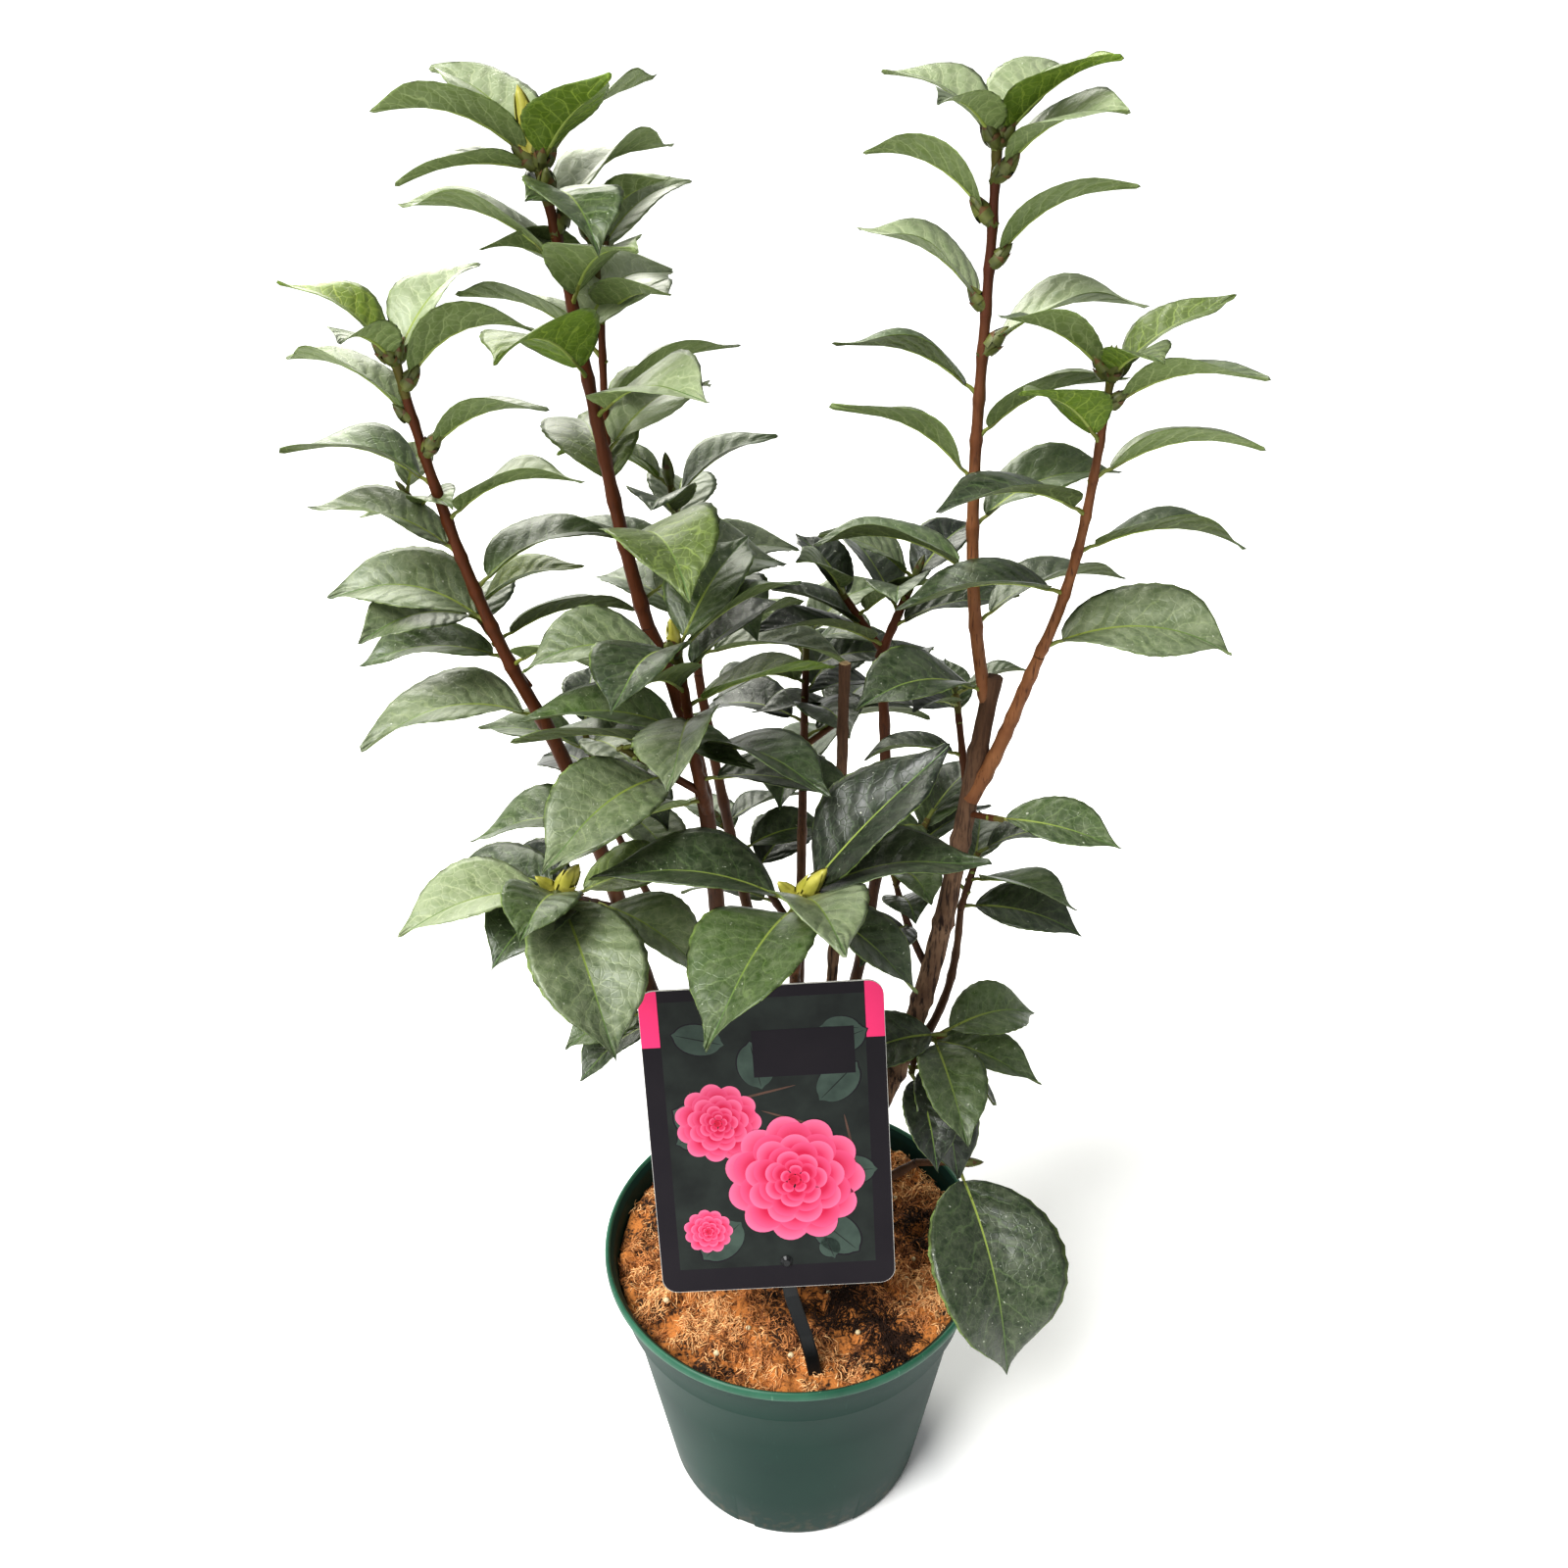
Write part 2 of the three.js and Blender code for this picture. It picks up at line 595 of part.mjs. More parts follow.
function cardPlace(geometry) {
  geometry.rotateZ(rad(CARD.roll));
  geometry.rotateX(rad(90 - CARD.lean));
  geometry.translate(...CARD.centre);
  return geometry;
}

function cardSolid() {
  const [w, h, c] = [CARD.wide / 2, CARD.high / 2, CARD.corner];
  const shape = new THREE.Shape();
  shape.moveTo(c - w, -h);
  shape.lineTo(w - c, -h);
  shape.absarc(w - c, c - h, c, -Math.PI / 2, 0);
  shape.absarc(w - c, h - c, c, 0, Math.PI / 2);
  shape.absarc(c - w, h - c, c, Math.PI / 2, Math.PI);
  shape.absarc(c - w, c - h, c, Math.PI, 1.5 * Math.PI);
  const plate = new THREE.ExtrudeGeometry(shape, { depth: CARD.thick, bevelEnabled: false, curveSegments: 6 });
  plate.translate(0, 0, -CARD.thick / 2);
  const hole = new THREE.CylinderGeometry(CARD.pinRadius + GAP, CARD.pinRadius + GAP, 6, 16);
  hole.rotateX(Math.PI / 2);
  hole.translate(4, -CARD.pinDrop, 0);
  return solid(cardPlace(plate)).subtract(solid(cardPlace(hole)));
}

// The strap rises out of the medium and runs up the card's back.
function strapBlade(grow = 0) {
  const back = CARD.thick / 2 + GAP + STRAP.thick / 2;
  const anchors = [[4, -CARD.pinDrop + 8], [4, -CARD.pinDrop - 8], [5, -CARD.high / 2 - 6]].map(([x, y]) => {
    const point = new THREE.BufferGeometry().setFromPoints([new THREE.Vector3(x, y, -back)]);
    cardPlace(point);
    return new THREE.Vector3().fromBufferAttribute(point.attributes.position, 0);
  });
  const foot = vec(STRAP.foot);
  const curve = new THREE.CatmullRomCurve3([...anchors, anchors[2].clone().lerp(foot, 0.5)
    .add(new THREE.Vector3(1.5, -2, 2)), foot]);
  const side = new THREE.Vector3(1, 0.12, 0.05).normalize();
  const rings = curve.getPoints(10).map((centre, i) => {
    const tangent = curve.getTangent(i / 10).normalize();
    const out = side.clone().cross(tangent).normalize();
    const [w, t] = [STRAP.wide / 2 + grow, STRAP.thick / 2 + grow];
    const corners = [[w, t * 0.4], [w * 0.8, t], [-w * 0.8, t], [-w, t * 0.4], [-w, -t * 0.4],
      [-w * 0.8, -t], [w * 0.8, -t], [w, -t * 0.4]];
    return corners.map(([a, b]) => centre.clone().addScaledVector(side, a).addScaledVector(out, -b));
  });
  return solid(skin(rings));
}

// It holds the card with a pin that has a round head.
function strapSolid() {
  const back = CARD.thick / 2 + GAP + STRAP.thick / 2;
  const pin = new THREE.CylinderGeometry(CARD.pinRadius, CARD.pinRadius, back + 2.4, 12);
  pin.rotateX(Math.PI / 2);
  pin.translate(4, -CARD.pinDrop, -back / 2 + 1.2);
  const head = new THREE.CylinderGeometry(1.6, 2.8, 1.2, 12);
  head.rotateX(Math.PI / 2);
  head.translate(4, -CARD.pinDrop, CARD.thick / 2 + GAP + 0.6);
  return strapBlade().add(solid(cardPlace(pin))).add(solid(cardPlace(head)));
}

// ---------------------------------------------------------------- assembly
const group = new THREE.Group();
group.name = 'camellia_shrub';

const card = cardSolid();
const strap = strapSolid();
const footRoom = new THREE.BoxGeometry(STRAP.wide + 2, STRAP.thick + 2, 2);
footRoom.translate(...STRAP.foot);
const slot = strapBlade(GAP + 0.1).add(solid(footRoom));
group.add(meshOf('pot', potSolid(), COLOURS.pot));
group.add(meshOf('growing_medium', largest(mediumSolid().subtract(slot)), COLOURS.growing_medium));
group.add(meshOf('label_card', card, COLOURS.label_card));
group.add(meshOf('label_strap', strap, COLOURS.label_strap));

for (let i = 0; i <= 12; i += 1) {
  for (let k = 0; k <= 16; k += 1) {
    const spot = new THREE.BufferGeometry().setFromPoints([
      new THREE.Vector3(CARD.wide * (i / 12 - 0.5), CARD.high * (k / 16 - 0.5), 0)]);
    cardPlace(spot);
    take('label_card', [new THREE.Vector3().fromBufferAttribute(spot.attributes.position, 0)], 1);
  }
}

const grown = {};
for (const [name, row] of Object.entries(LIMBS)) {
  takeLimb(name, row);
  grown[name] = limb(row, LIMB_SIDES, GAP);
  let body = limb(row, LIMB_SIDES);
  if (row.on) body = largest(body.subtract(grown[row.on]));
  group.add(meshOf(name, body, COLOURS.bark));
}
for (const [name, mass] of Object.entries(MASSES)) {
  for (const row of mass.shoots) takeLimb(name, row);
}
for (const [name, mass] of Object.entries(MASSES)) {
  const parts = [];
  mass.shoots.forEach((row, index) => {
    const leaves = growLeaves(name, row, mass.slender ?? LEAF.slender, seeded(mass.seed + index));
    parts.push(limb(row, TWIG_SIDES));
    parts.push(...leaves.map(leafSolid));
    parts.push(...budsOf(row, leaves).map((b) => budSolid(b.at, b.heading, b.long, b.wide)));
  });
  const fused = parts.reduce((sum, part) => sum.add(part)).subtract(grown[mass.on]);
  group.add(meshOf(name, largest(fused.simplify(SMOOTHING)), COLOURS.foliage));
}

export default group;
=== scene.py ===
"""Dresses a camellia shrub in its green nursery pot, with a picture label on a strap.

The classes hold their sizes in millimetres; meshes are in metres. +Z is up, the pot's axis
is x = y = 0 and the label faces -Y.
"""

import logging
import math
from collections.abc import Callable, Iterable, Sequence
from dataclasses import dataclass, field
from enum import Enum

import bpy
import numpy as np
from mathutils import Matrix, Vector


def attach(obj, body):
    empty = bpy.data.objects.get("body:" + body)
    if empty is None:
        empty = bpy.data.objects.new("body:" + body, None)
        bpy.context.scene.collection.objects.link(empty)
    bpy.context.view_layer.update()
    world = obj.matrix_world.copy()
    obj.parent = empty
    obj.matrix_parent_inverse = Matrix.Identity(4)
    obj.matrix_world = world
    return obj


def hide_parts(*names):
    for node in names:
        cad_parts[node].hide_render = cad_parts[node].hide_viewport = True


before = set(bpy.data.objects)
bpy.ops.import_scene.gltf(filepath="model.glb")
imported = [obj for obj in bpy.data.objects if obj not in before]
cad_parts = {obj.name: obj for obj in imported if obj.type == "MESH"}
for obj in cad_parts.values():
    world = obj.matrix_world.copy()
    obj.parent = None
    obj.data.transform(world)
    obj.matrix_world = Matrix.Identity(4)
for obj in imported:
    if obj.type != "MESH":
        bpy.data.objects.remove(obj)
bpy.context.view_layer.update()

MM = 0.001
BODY = "root"
LOG = logging.getLogger("camellia")

Triple = tuple[float, float, float]
Face = tuple[int, ...]
Draw = Callable[[], float]
Socket = bpy.types.NodeSocket
Piece = bpy.types.Object


# ------------------------------------------------------------------ the growth rule
@dataclass(frozen=True)
class Course:
    """A limb's way from foot to tip, with its radii.

    Args:
        start: foot, in mm.
        end: tip, in mm.
        bow: sideways bow in x at one and two thirds, then in y.
        radii: radius at foot and tip, in mm.
        flare: extra share of the radius at the foot.
        on: the piece that it rises from.
    """

    start: Triple
    end: Triple
    bow: tuple[float, float, float, float] = (0, 0, 0, 0)
    radii: tuple[float, float] = (2, 1)
    flare: float = 0
    on: str = ""

    def handles(self) -> tuple[np.ndarray, np.ndarray, np.ndarray, np.ndarray]:
        """Returns the four control points of the cubic course."""
        a, b = np.array(self.start, float), np.array(self.end, float)
        x1, x2, y1, y2 = self.bow
        return a, a + (b - a) / 3 + (x1, y1, 0), a + (b - a) * 2 / 3 + (x2, y2, 0), b

    def at(self, t: float | np.ndarray) -> np.ndarray:
        """Returns the point, or points, at the share t of the course."""
        p0, p1, p2, p3 = self.handles()
        t = np.asarray(t, float)[..., None]
        s = 1 - t
        return s**3 * p0 + 3 * s * s * t * p1 + 3 * s * t * t * p2 + t**3 * p3

    def heading(self, t: float) -> np.ndarray:
        """Returns the unit tangent at t."""
        step = self.at(min(1.0, t + 1e-4)) - self.at(max(0.0, t - 1e-4))
        return step / np.linalg.norm(step)

    def length(self) -> float:
        """Returns the length of the course in mm."""
        return float(np.linalg.norm(np.diff(self.at(np.linspace(0, 1, 201)), axis=0), axis=1).sum())

    def radius(self, t: float | np.ndarray) -> float | np.ndarray:
        """Returns the radius at t, in mm."""
        foot, tip = self.radii
        return (foot + (tip - foot) * t) * (1 + self.flare * np.exp(-9 * t))


@dataclass(frozen=True)
class Shoot:
    """A leafy shoot: its course and the rule for its leaves.

    Args:
        course: where the twig runs.
        leaves: how many leaves the rule tries.
        first: share of the shoot below the first leaf.
        long: leaf length in mm.
        az: where the first leaf points, in degrees; 0 is right, 90 is back.
        turn: step to the next leaf, in degrees.
        lift: angle above the level at which a leaf starts.
        droop: angle through which a leaf sinks.
        bud: length of the bud at the tip, in mm.
        buds: how many leaves at the tip have a bud in their axil.
        loose: scale of the scatter.
    """

    course: Course
    leaves: int
    first: float
    long: float
    az: float
    turn: float
    lift: float
    droop: float
    bud: float = 0
    buds: int = 0
    loose: float = 1


@dataclass(frozen=True)
class Mass:
    """One group of shoots that keeps to its own space.

    Args:
        on: the limb that it grows from.
        seed: start of its random sequence.
        shoots: its shoots.
        slender: leaf width over leaf length.
    """

    on: str
    seed: int
    shoots: tuple[Shoot, ...]
    slender: float = 0.54


LIMBS: dict[str, Course] = {
    "trunk": Course((1, 3, 137.3), (2, 3, 202), radii=(8, 6.2), flare=0.35),
    "stem_left": Course((-1, 3, 158), (-98, 0, 427), (-38, 0, 0, 0), (4.6, 3), 0, "trunk"),
    "stem_centre_left": Course((0, 3, 178), (-55, -5, 473), (-35, 23, 0, 0), (4.4, 2.9), 0, "trunk"),
    "stem_right": Course((4, 3, 152), (81.5, 5, 447), (39, 11.5, 0, 0), (5.6, 3.6), 0, "trunk"),
    "stem_right_outer": Course((75, 4, 392), (96, -8, 461), (3.6, 0.5, 0, 0), (3.1, 2.3), 0, "stem_right"),
    "stem_right_low": Course((44, 6, 236), (77, 22, 324), (20, 10, 4, 2), (2.2, 1.6), 0, "stem_right"),
    "stem_back_right": Course((6, 6, 190), (37.8, 40, 440), (11.5, 23, 0, 0), (3.2, 2.2), 0, "trunk"),
    "stem_back": Course((1, 8, 162), (6, 78, 356), (0, 0, 6, 8), (3.2, 2.1), 0, "trunk"),
    "stem_back_left": Course((2, 8, 197), (-40, 48, 430), (2, -4, 6, 8), (3, 2.1), 0, "trunk"),
    "stem_left_low": Course((-3, 8, 172), (-78, 30, 361), (14, -4, 8, 4), (2.4, 1.6), 0, "trunk"),
    "stem_front": Course((0, -1, 184), (1, -56, 377), (1, 0, 20, 34), (3, 2.2), 0, "trunk"),
    "stem_low_right": Course((4, -3, 144), (58, -14, 204), (-4, -4, -2, 0), (2.4, 1.9), 0, "trunk"),
    "pruned_stem": Course((4, 2, 193), (21, -6, 458), (13, 4, 4, 2), (2.7, 2.2), 0, "trunk"),
}


def _shoot(
    start: Triple,
    end: Triple,
    radii: tuple[float, float],
    rule: Sequence[float],
    bow: tuple[float, float, float, float] = (0, 0, 0, 0),
    bud: tuple[float, int] = (0, 0),
    loose: float = 1,
) -> Shoot:
    """Returns a shoot from its course and its rule in the order of Shoot's fields.

    Args:
        start: foot, in mm.
        end: tip, in mm.
        radii: radius at foot and tip, in mm.
        rule: leaves, first, long, az, turn, lift and droop.
        bow: the course's bow.
        bud: length of the tip's bud and the count of side buds.
        loose: scale of the scatter.

    Returns:
        The shoot.
    """
    count, *angles = rule
    return Shoot(Course(start, end, bow, radii), int(count), *angles, bud[0], bud[1], loose)


MASSES: dict[str, Mass] = {
    "foliage_left_leader": Mass("stem_left", 11, (
        _shoot(
            (-98, 0, 427.4), (-137, -8, 575), (2.8, 1.5),
            (11, 0.03, 63, 186, 178, 44, 78), (-10, -6, 0, 0), (13, 6),
        ),
        _shoot((-122, -4, 500), (-146, 14, 521), (1.4, 1), (3, 0.45, 36, 150, 140, 35, 60), bud=(7, 0)),
        _shoot((-104, 0, 446), (-128, 20, 472), (1.6, 1.1), (5, 0.35, 62, 176, 140, 26, 64)),
    )),
    "foliage_centre_left_leader": Mass("stem_centre_left", 23, (
        _shoot(
            (-55, -5, 473.4), (-82, -5, 636), (2.8, 1.6),
            (12, 0.06, 68, 65, 240, 42, 70), (-4, 2, 0, 0), (23, 7),
        ),
        _shoot(
            (-62, -4, 506), (-69, 18, 611), (1.7, 1.1),
            (6, 0.45, 60, 10, 185, 40, 62), (-8, 2, 6, 6), (10, 3),
        ),
    )),
    "foliage_back_left": Mass("stem_back_left", 31, (
        _shoot(
            (-40, 48, 430.4), (-48, 45, 515), (2, 1.3),
            (10, 0.1, 62, 350, 138, 32, 58), (2, 0, 2, 2), (14, 0),
        ),
    )),
    "foliage_centre": Mass("stem_centre_left", 43, (
        _shoot(
            (-35, -5, 392), (-41, -45, 480), (2.5, 1.5),
            (11, 0.08, 68, 190, 162, 30, 60), (-1, 1, -4, -4), (15, 1),
        ),
        _shoot((-36, -12, 404), (-66, -26, 432), (1.8, 1.2), (4, 0.4, 70, 230, 283, 18, 58)),
    )),
    "foliage_front": Mass("stem_front", 57, (
        _shoot(
            (1, -56.3, 377.2), (2, -75, 393), (2.1, 1.8),
            (5, 0.2, 82, 250, 291, 30, 64), bud=(15, 2), loose=0.4,
        ),
    )),
    "foliage_back_right": Mass("stem_back_right", 61, (
        _shoot((37.8, 40, 440.4), (52, 46, 474), (2.1, 1.4), (6, 0.15, 56, 200, 139, 44, 58), bud=(11, 0)),
        _shoot((39, 40.5, 444), (20, 48, 470), (1.7, 1.2), (5, 0.3, 46, 160, 140, 46, 56), bud=(9, 0)),
    )),
    "foliage_right_leader": Mass("stem_right", 71, (
        _shoot(
            (79, 5, 436), (68.5, 0, 642), (2.7, 1.5),
            (13, 0.02, 62, 184, 177, 48, 70), (-13.5, -1.6, 0, 0), (12, 9),
        ),
    )),
    "foliage_right_outer": Mass("stem_right_outer", 83, (
        _shoot(
            (96, -8, 461.4), (108, -26, 571), (2.2, 1.3),
            (8, 0.03, 62, 352, 182, 36, 62), (8, 3, 0, 0), (10, 4),
        ),
    )),
    "foliage_right_inner": Mass("stem_right", 97, (
        _shoot((74.5, 8, 390), (69, 22, 432), (1.8, 1.2), (5, 0.4, 42, 170, 140, 34, 58), bud=(8, 0)),
        _shoot((74, 5, 384), (86, -13, 391), (1.5, 1.1), (2, 0.7, 60, 352, 66, 0, 34)),
    )),
    "foliage_right_mid": Mass("stem_right", 109, (
        _shoot((63, 5, 300), (44, 16, 352), (1.9, 1.2), (10, 0.2, 50, 300, 139, 24, 56), (-4, -2, 0, 0)),
        _shoot((46, 14, 342), (60, 22, 372), (1.5, 1.1), (4, 0.5, 52, 340, 139, 30, 56)),
    )),
    "foliage_right_low": Mass("stem_right_low", 101, (
        _shoot((77, 22, 324.4), (84, 26, 352), (1.6, 1.2), (6, 0.05, 52, 350, 150, 22, 50)),
    )),
    "foliage_right_base": Mass("stem_right", 113, (
        _shoot((54, 5, 262), (68, -8, 276), (2, 1.3), (5, 0.35, 62, 355, 144, 12, 56)),
        _shoot((58, 1, 266), (54, -14, 258), (1.5, 1.1), (3, 0.5, 60, 262, 52, -6, 78)),
    )),
    "foliage_low_right": Mass("stem_low_right", 127, (
        _shoot(
            (58.3, -14, 204.2), (77, -21, 211), (1.8, 1.4),
            (1, 0.95, 120, 284, 0, -16, 82), bud=(13, 0), loose=0,
        ),
    ), 0.66),
    "foliage_left_low": Mass("stem_left", 131, (
        _shoot((-76, 1, 340), (-93, -40, 374), (1.9, 1.4), (6, 0.4, 64, 330, 138, 20, 66), bud=(9, 3)),
    ), 0.6),
    "foliage_left_inner": Mass("stem_left_low", 149, (
        _shoot((-78, 30, 361.4), (-92, 48, 404), (1.6, 1.2), (8, 0.04, 60, 200, 139, 22, 56)),
    )),
    "foliage_left_base": Mass("stem_left", 157, (
        _shoot((-50, 3, 262), (-66, -6, 290), (1.9, 1.3), (7, 0.25, 52, 200, 142, 6, 60)),
    )),
    "foliage_back": Mass("stem_back", 163, (
        _shoot(
            (6, 78.3, 356.3), (8, 96, 428), (2, 1.3),
            (11, 0.06, 62, 90, 140, 26, 58), (0, 0, 4, 4), (11, 0),
        ),
        _shoot((6, 84, 376), (46, 104, 398), (1.7, 1.2), (5, 0.4, 58, 30, 139, 22, 56), bud=(9, 0)),
    )),
    "foliage_back_low": Mass("stem_back", 173, (
        _shoot((4, 52, 288), (-34, 92, 330), (2, 1.3), (8, 0.3, 58, 150, 138, 18, 54), bud=(9, 0)),
    )),
}


def seeded(seed: int) -> Draw:
    """Returns a function that gives the same sequence from 0 to 1 for the same seed."""
    state = [seed * 7919 + 17]

    def draw() -> float:
        """Returns the next number."""
        state[0] = (state[0] * 16807) % 2147483647
        return state[0] / 2147483647

    return draw


def tilted(lean: float, roll: float) -> Matrix:
    """Returns the turn of something upright that leans back and is rolled in its own plane.

    Args:
        lean: how far it leans, in degrees.
        roll: how far it is rolled, in degrees.

    Returns:
        The turn.
    """
    return Matrix.Rotation(math.radians(90 - lean), 4, "X") @ Matrix.Rotation(math.radians(roll), 4, "Z")


@dataclass(frozen=True)
class CardPlace:
    """Where the label card stands.

    Args:
        wide: width in mm.
        high: height in mm.
        thick: thickness in mm.
        corner: corner radius in mm.
        centre: its middle.
        lean: degrees that it leans back from the upright.
        roll: degrees that it is turned in its own plane.
    """

    wide: float = 105
    high: float = 147
    thick: float = 1
    corner: float = 7
    centre: Triple = (-10.5, -45.5, 248.4)
    lean: float = 13.7
    roll: float = 2.8

    def matrix(self) -> Matrix:
        """Returns the turn and shift, in mm, from the card's own plane to its place."""
        turn = tilted(self.lean, self.roll)
        return Matrix.Translation(self.centre) @ turn

    def samples(self) -> np.ndarray:
        """Returns points spread over the card, for keeping leaves off it."""
        place = self.matrix()
        spots = [
            place @ Vector((self.wide * (i / 12 - 0.5), self.high * (k / 16 - 0.5), 0))
            for i in range(13) for k in range(17)
        ]
        return np.array(spots, float)


@dataclass(frozen=True)
class LeafRule:
    """The sizes that every leaf shares.

    Args:
        stalk: share of the leaf that is its stalk.
        fold: degrees that each half of the blade is folded up.
        steps: steps along the midrib.
        turns: degrees tried in turn for a leaf that isn't clear.
        samples_from: step of the midrib at which the tested points start.
        skipped: tested points near the foot that don't count against the same mass.
        clear: least distance between leaves of different masses, in mm.
        own_clear: the same within one mass.
        lip_reach: over the pot, out to this radius, a leaf stays above lip_level.
        lip_level: see lip_reach.
        tip: share of the shoot at which its last leaves stand.
        crowding: power, under one, by which the leaves crowd towards the tip.
        scatter: full scatter of the heading, lift, droop, roll and sweep, in degrees.
        rising: how much more steeply the leaves start at the tip than at the foot, in degrees.
        longest: length of the leaves at the foot, as a share of the usual one.
        shorter: how much of that is lost towards the tip.
        uneven: scatter of the length.
    """

    stalk: float = 0.11
    fold: float = 17
    steps: int = 24
    turns: tuple[float, ...] = (0, 24, -24, 48, -48, 72, -72)
    samples_from: int = 4
    skipped: int = 20
    clear: float = 5.2
    own_clear: float = 4
    lip_reach: float = 99
    lip_level: float = 149
    tip: float = 0.985
    crowding: float = 0.78
    scatter: tuple[float, ...] = (26, 14, 20, 36, 30)
    rising: float = 24
    longest: float = 1.14
    shorter: float = 0.32
    uneven: float = 0.16


RULE = LeafRule()


def blade_width(u: float | np.ndarray) -> float | np.ndarray:
    """Returns the blade's width at the share u of its length, as a share of its widest."""
    return np.abs(np.sin(np.pi * np.asarray(u) ** 0.85)) ** 0.8 * (1 - 0.35 * np.asarray(u) ** 6)


@dataclass
class Leaf:
    """One leaf of the rule.

    Args:
        mass: name of its mass.
        base: where it springs from.
        t: share of its shoot below it.
        az: heading in degrees.
        lift: angle at which it starts.
        droop: angle through which it sinks.
        roll: turn about its midrib.
        sweep: sideways turn along its length.
        long: length in mm.
        wide: width in mm.
        rank: its place on the shoot, from 0 at the foot to 1 at the tip.
        tone: its finish, if it isn't dealt out.
        number: its number on the shoot.
    """

    mass: str
    base: np.ndarray
    t: float
    az: float
    lift: float
    droop: float
    roll: float
    sweep: float
    long: float
    wide: float
    rank: float = 0
    tone: Enum | None = None
    number: int = 99

    def midrib(self, turned: float = 0) -> tuple[np.ndarray, np.ndarray, np.ndarray, np.ndarray]:
        """Traces the midrib as it arches over and sinks.

        Args:
            turned: degrees added to the heading.

        Returns:
            Points, headings, sideways and upward directions at each step.
        """
        f = np.linspace(0, 1, RULE.steps + 1)
        az = np.radians(self.az + turned + self.sweep * f)
        el = np.radians(self.lift - self.droop * f**1.25)
        roll = math.radians(self.roll)
        level = np.stack([np.cos(az), np.sin(az), 0 * az], 1)
        z = np.array([0, 0, 1.0])
        along = level * np.cos(el)[:, None] + z * np.sin(el)[:, None]
        flat = np.stack([-np.sin(az), np.cos(az), 0 * az], 1)
        face = -level * np.sin(el)[:, None] + z * np.cos(el)[:, None]
        side = flat * math.cos(roll) + face * math.sin(roll)
        up = -np.cross(side, along)
        up /= np.linalg.norm(up, axis=1)[:, None]
        at = self.base + np.vstack([np.zeros(3), np.cumsum(along[:-1], 0)]) * self.long / RULE.steps
        return at, along, side, up

    def samples(self, turned: float = 0) -> np.ndarray:
        """Returns points spread over the blade, as the growth rule tests them."""
        at, _, side, up = self.midrib(turned)
        fold = math.radians(RULE.fold)
        rows = []
        for i in range(RULE.samples_from, RULE.steps + 1, 2):
            u = (i / RULE.steps - RULE.stalk) / (1 - RULE.stalk)
            for across in (-1, -0.5, 0, 0.5, 1):
                half = 0.5 * self.wide * blade_width(u) * across
                rows.append(at[i] + side[i] * half * math.cos(fold) + up[i] * abs(half) * math.sin(fold))
        return np.array(rows)


@dataclass
class Space:
    """Keeps the room that each piece of the plant has taken.

    Args:
        spots: points on the pieces.
        radii: how far the solid reaches round each point, in mm.
        owners: number of the piece that each point is on.
        leafy: whether each point is a leaf's.
        names: the number of each piece.
    """

    spots: list[np.ndarray] = field(default_factory=list)
    radii: list[np.ndarray] = field(default_factory=list)
    owners: list[np.ndarray] = field(default_factory=list)
    leafy: list[np.ndarray] = field(default_factory=list)
    names: dict[str, int] = field(default_factory=dict)

    def take(self, owner: str, points: np.ndarray, radius: float | np.ndarray, leafy: bool = False) -> None:
        """Marks points as taken by a piece.

        Args:
            owner: the piece's name.
            points: the points.
            radius: the solid radius round each.
            leafy: whether they are a leaf's.
        """
        count = len(points)
        self.spots.append(points)
        self.radii.append(np.broadcast_to(np.asarray(radius, float), count))
        self.owners.append(np.full(count, self.names.setdefault(owner, len(self.names))))
        self.leafy.append(np.full(count, leafy))

    def take_course(self, owner: str, course: Course) -> None:
        """Marks a limb's course as taken."""
        t = np.linspace(0, 1, math.floor(course.length() / 4 + 0.5) + 1)
        self.take(owner, course.at(t), course.radius(t))

    def is_clear(self, owner: str, points: np.ndarray) -> bool:
        """Tells whether a leaf's points keep clear of all that is taken.

        Args:
            owner: the leaf's mass.
            points: the leaf's samples.

        Returns:
            True if nothing is too near.
        """
        over_pot = np.hypot(points[:, 0], points[:, 1]) < RULE.lip_reach
        if (points[over_pot, 2] < RULE.lip_level).any():
            return False
        spots, radii = np.concatenate(self.spots), np.concatenate(self.radii)
        owners, leafy = np.concatenate(self.owners), np.concatenate(self.leafy)
        own = owners == self.names.get(owner, -1)
        for mask, mine, reach in (
            (~own, points, RULE.clear + radii[~own]),
            (own & leafy, points[RULE.skipped:], np.full((own & leafy).sum(), RULE.own_clear)),
        ):
            others = spots[mask]
            if len(others):
                apart = np.linalg.norm(mine[:, None] - others[None], axis=2)
                if (apart < reach[None]).any():
                    return False
        return True


@dataclass(frozen=True)
class TipLeaf:
    """A young leaf that stands steeply beside the bud at a shoot's tip.

    Args:
        mass: its mass.
        index: its shoot.
        az: heading in degrees.
        lift: angle at which it starts.
        droop: angle through which it sinks.
        long: length in mm.
        tone: name of its tone.
    """

    mass: str
    index: int
    az: float
    lift: float
    droop: float
    long: float
    tone: str


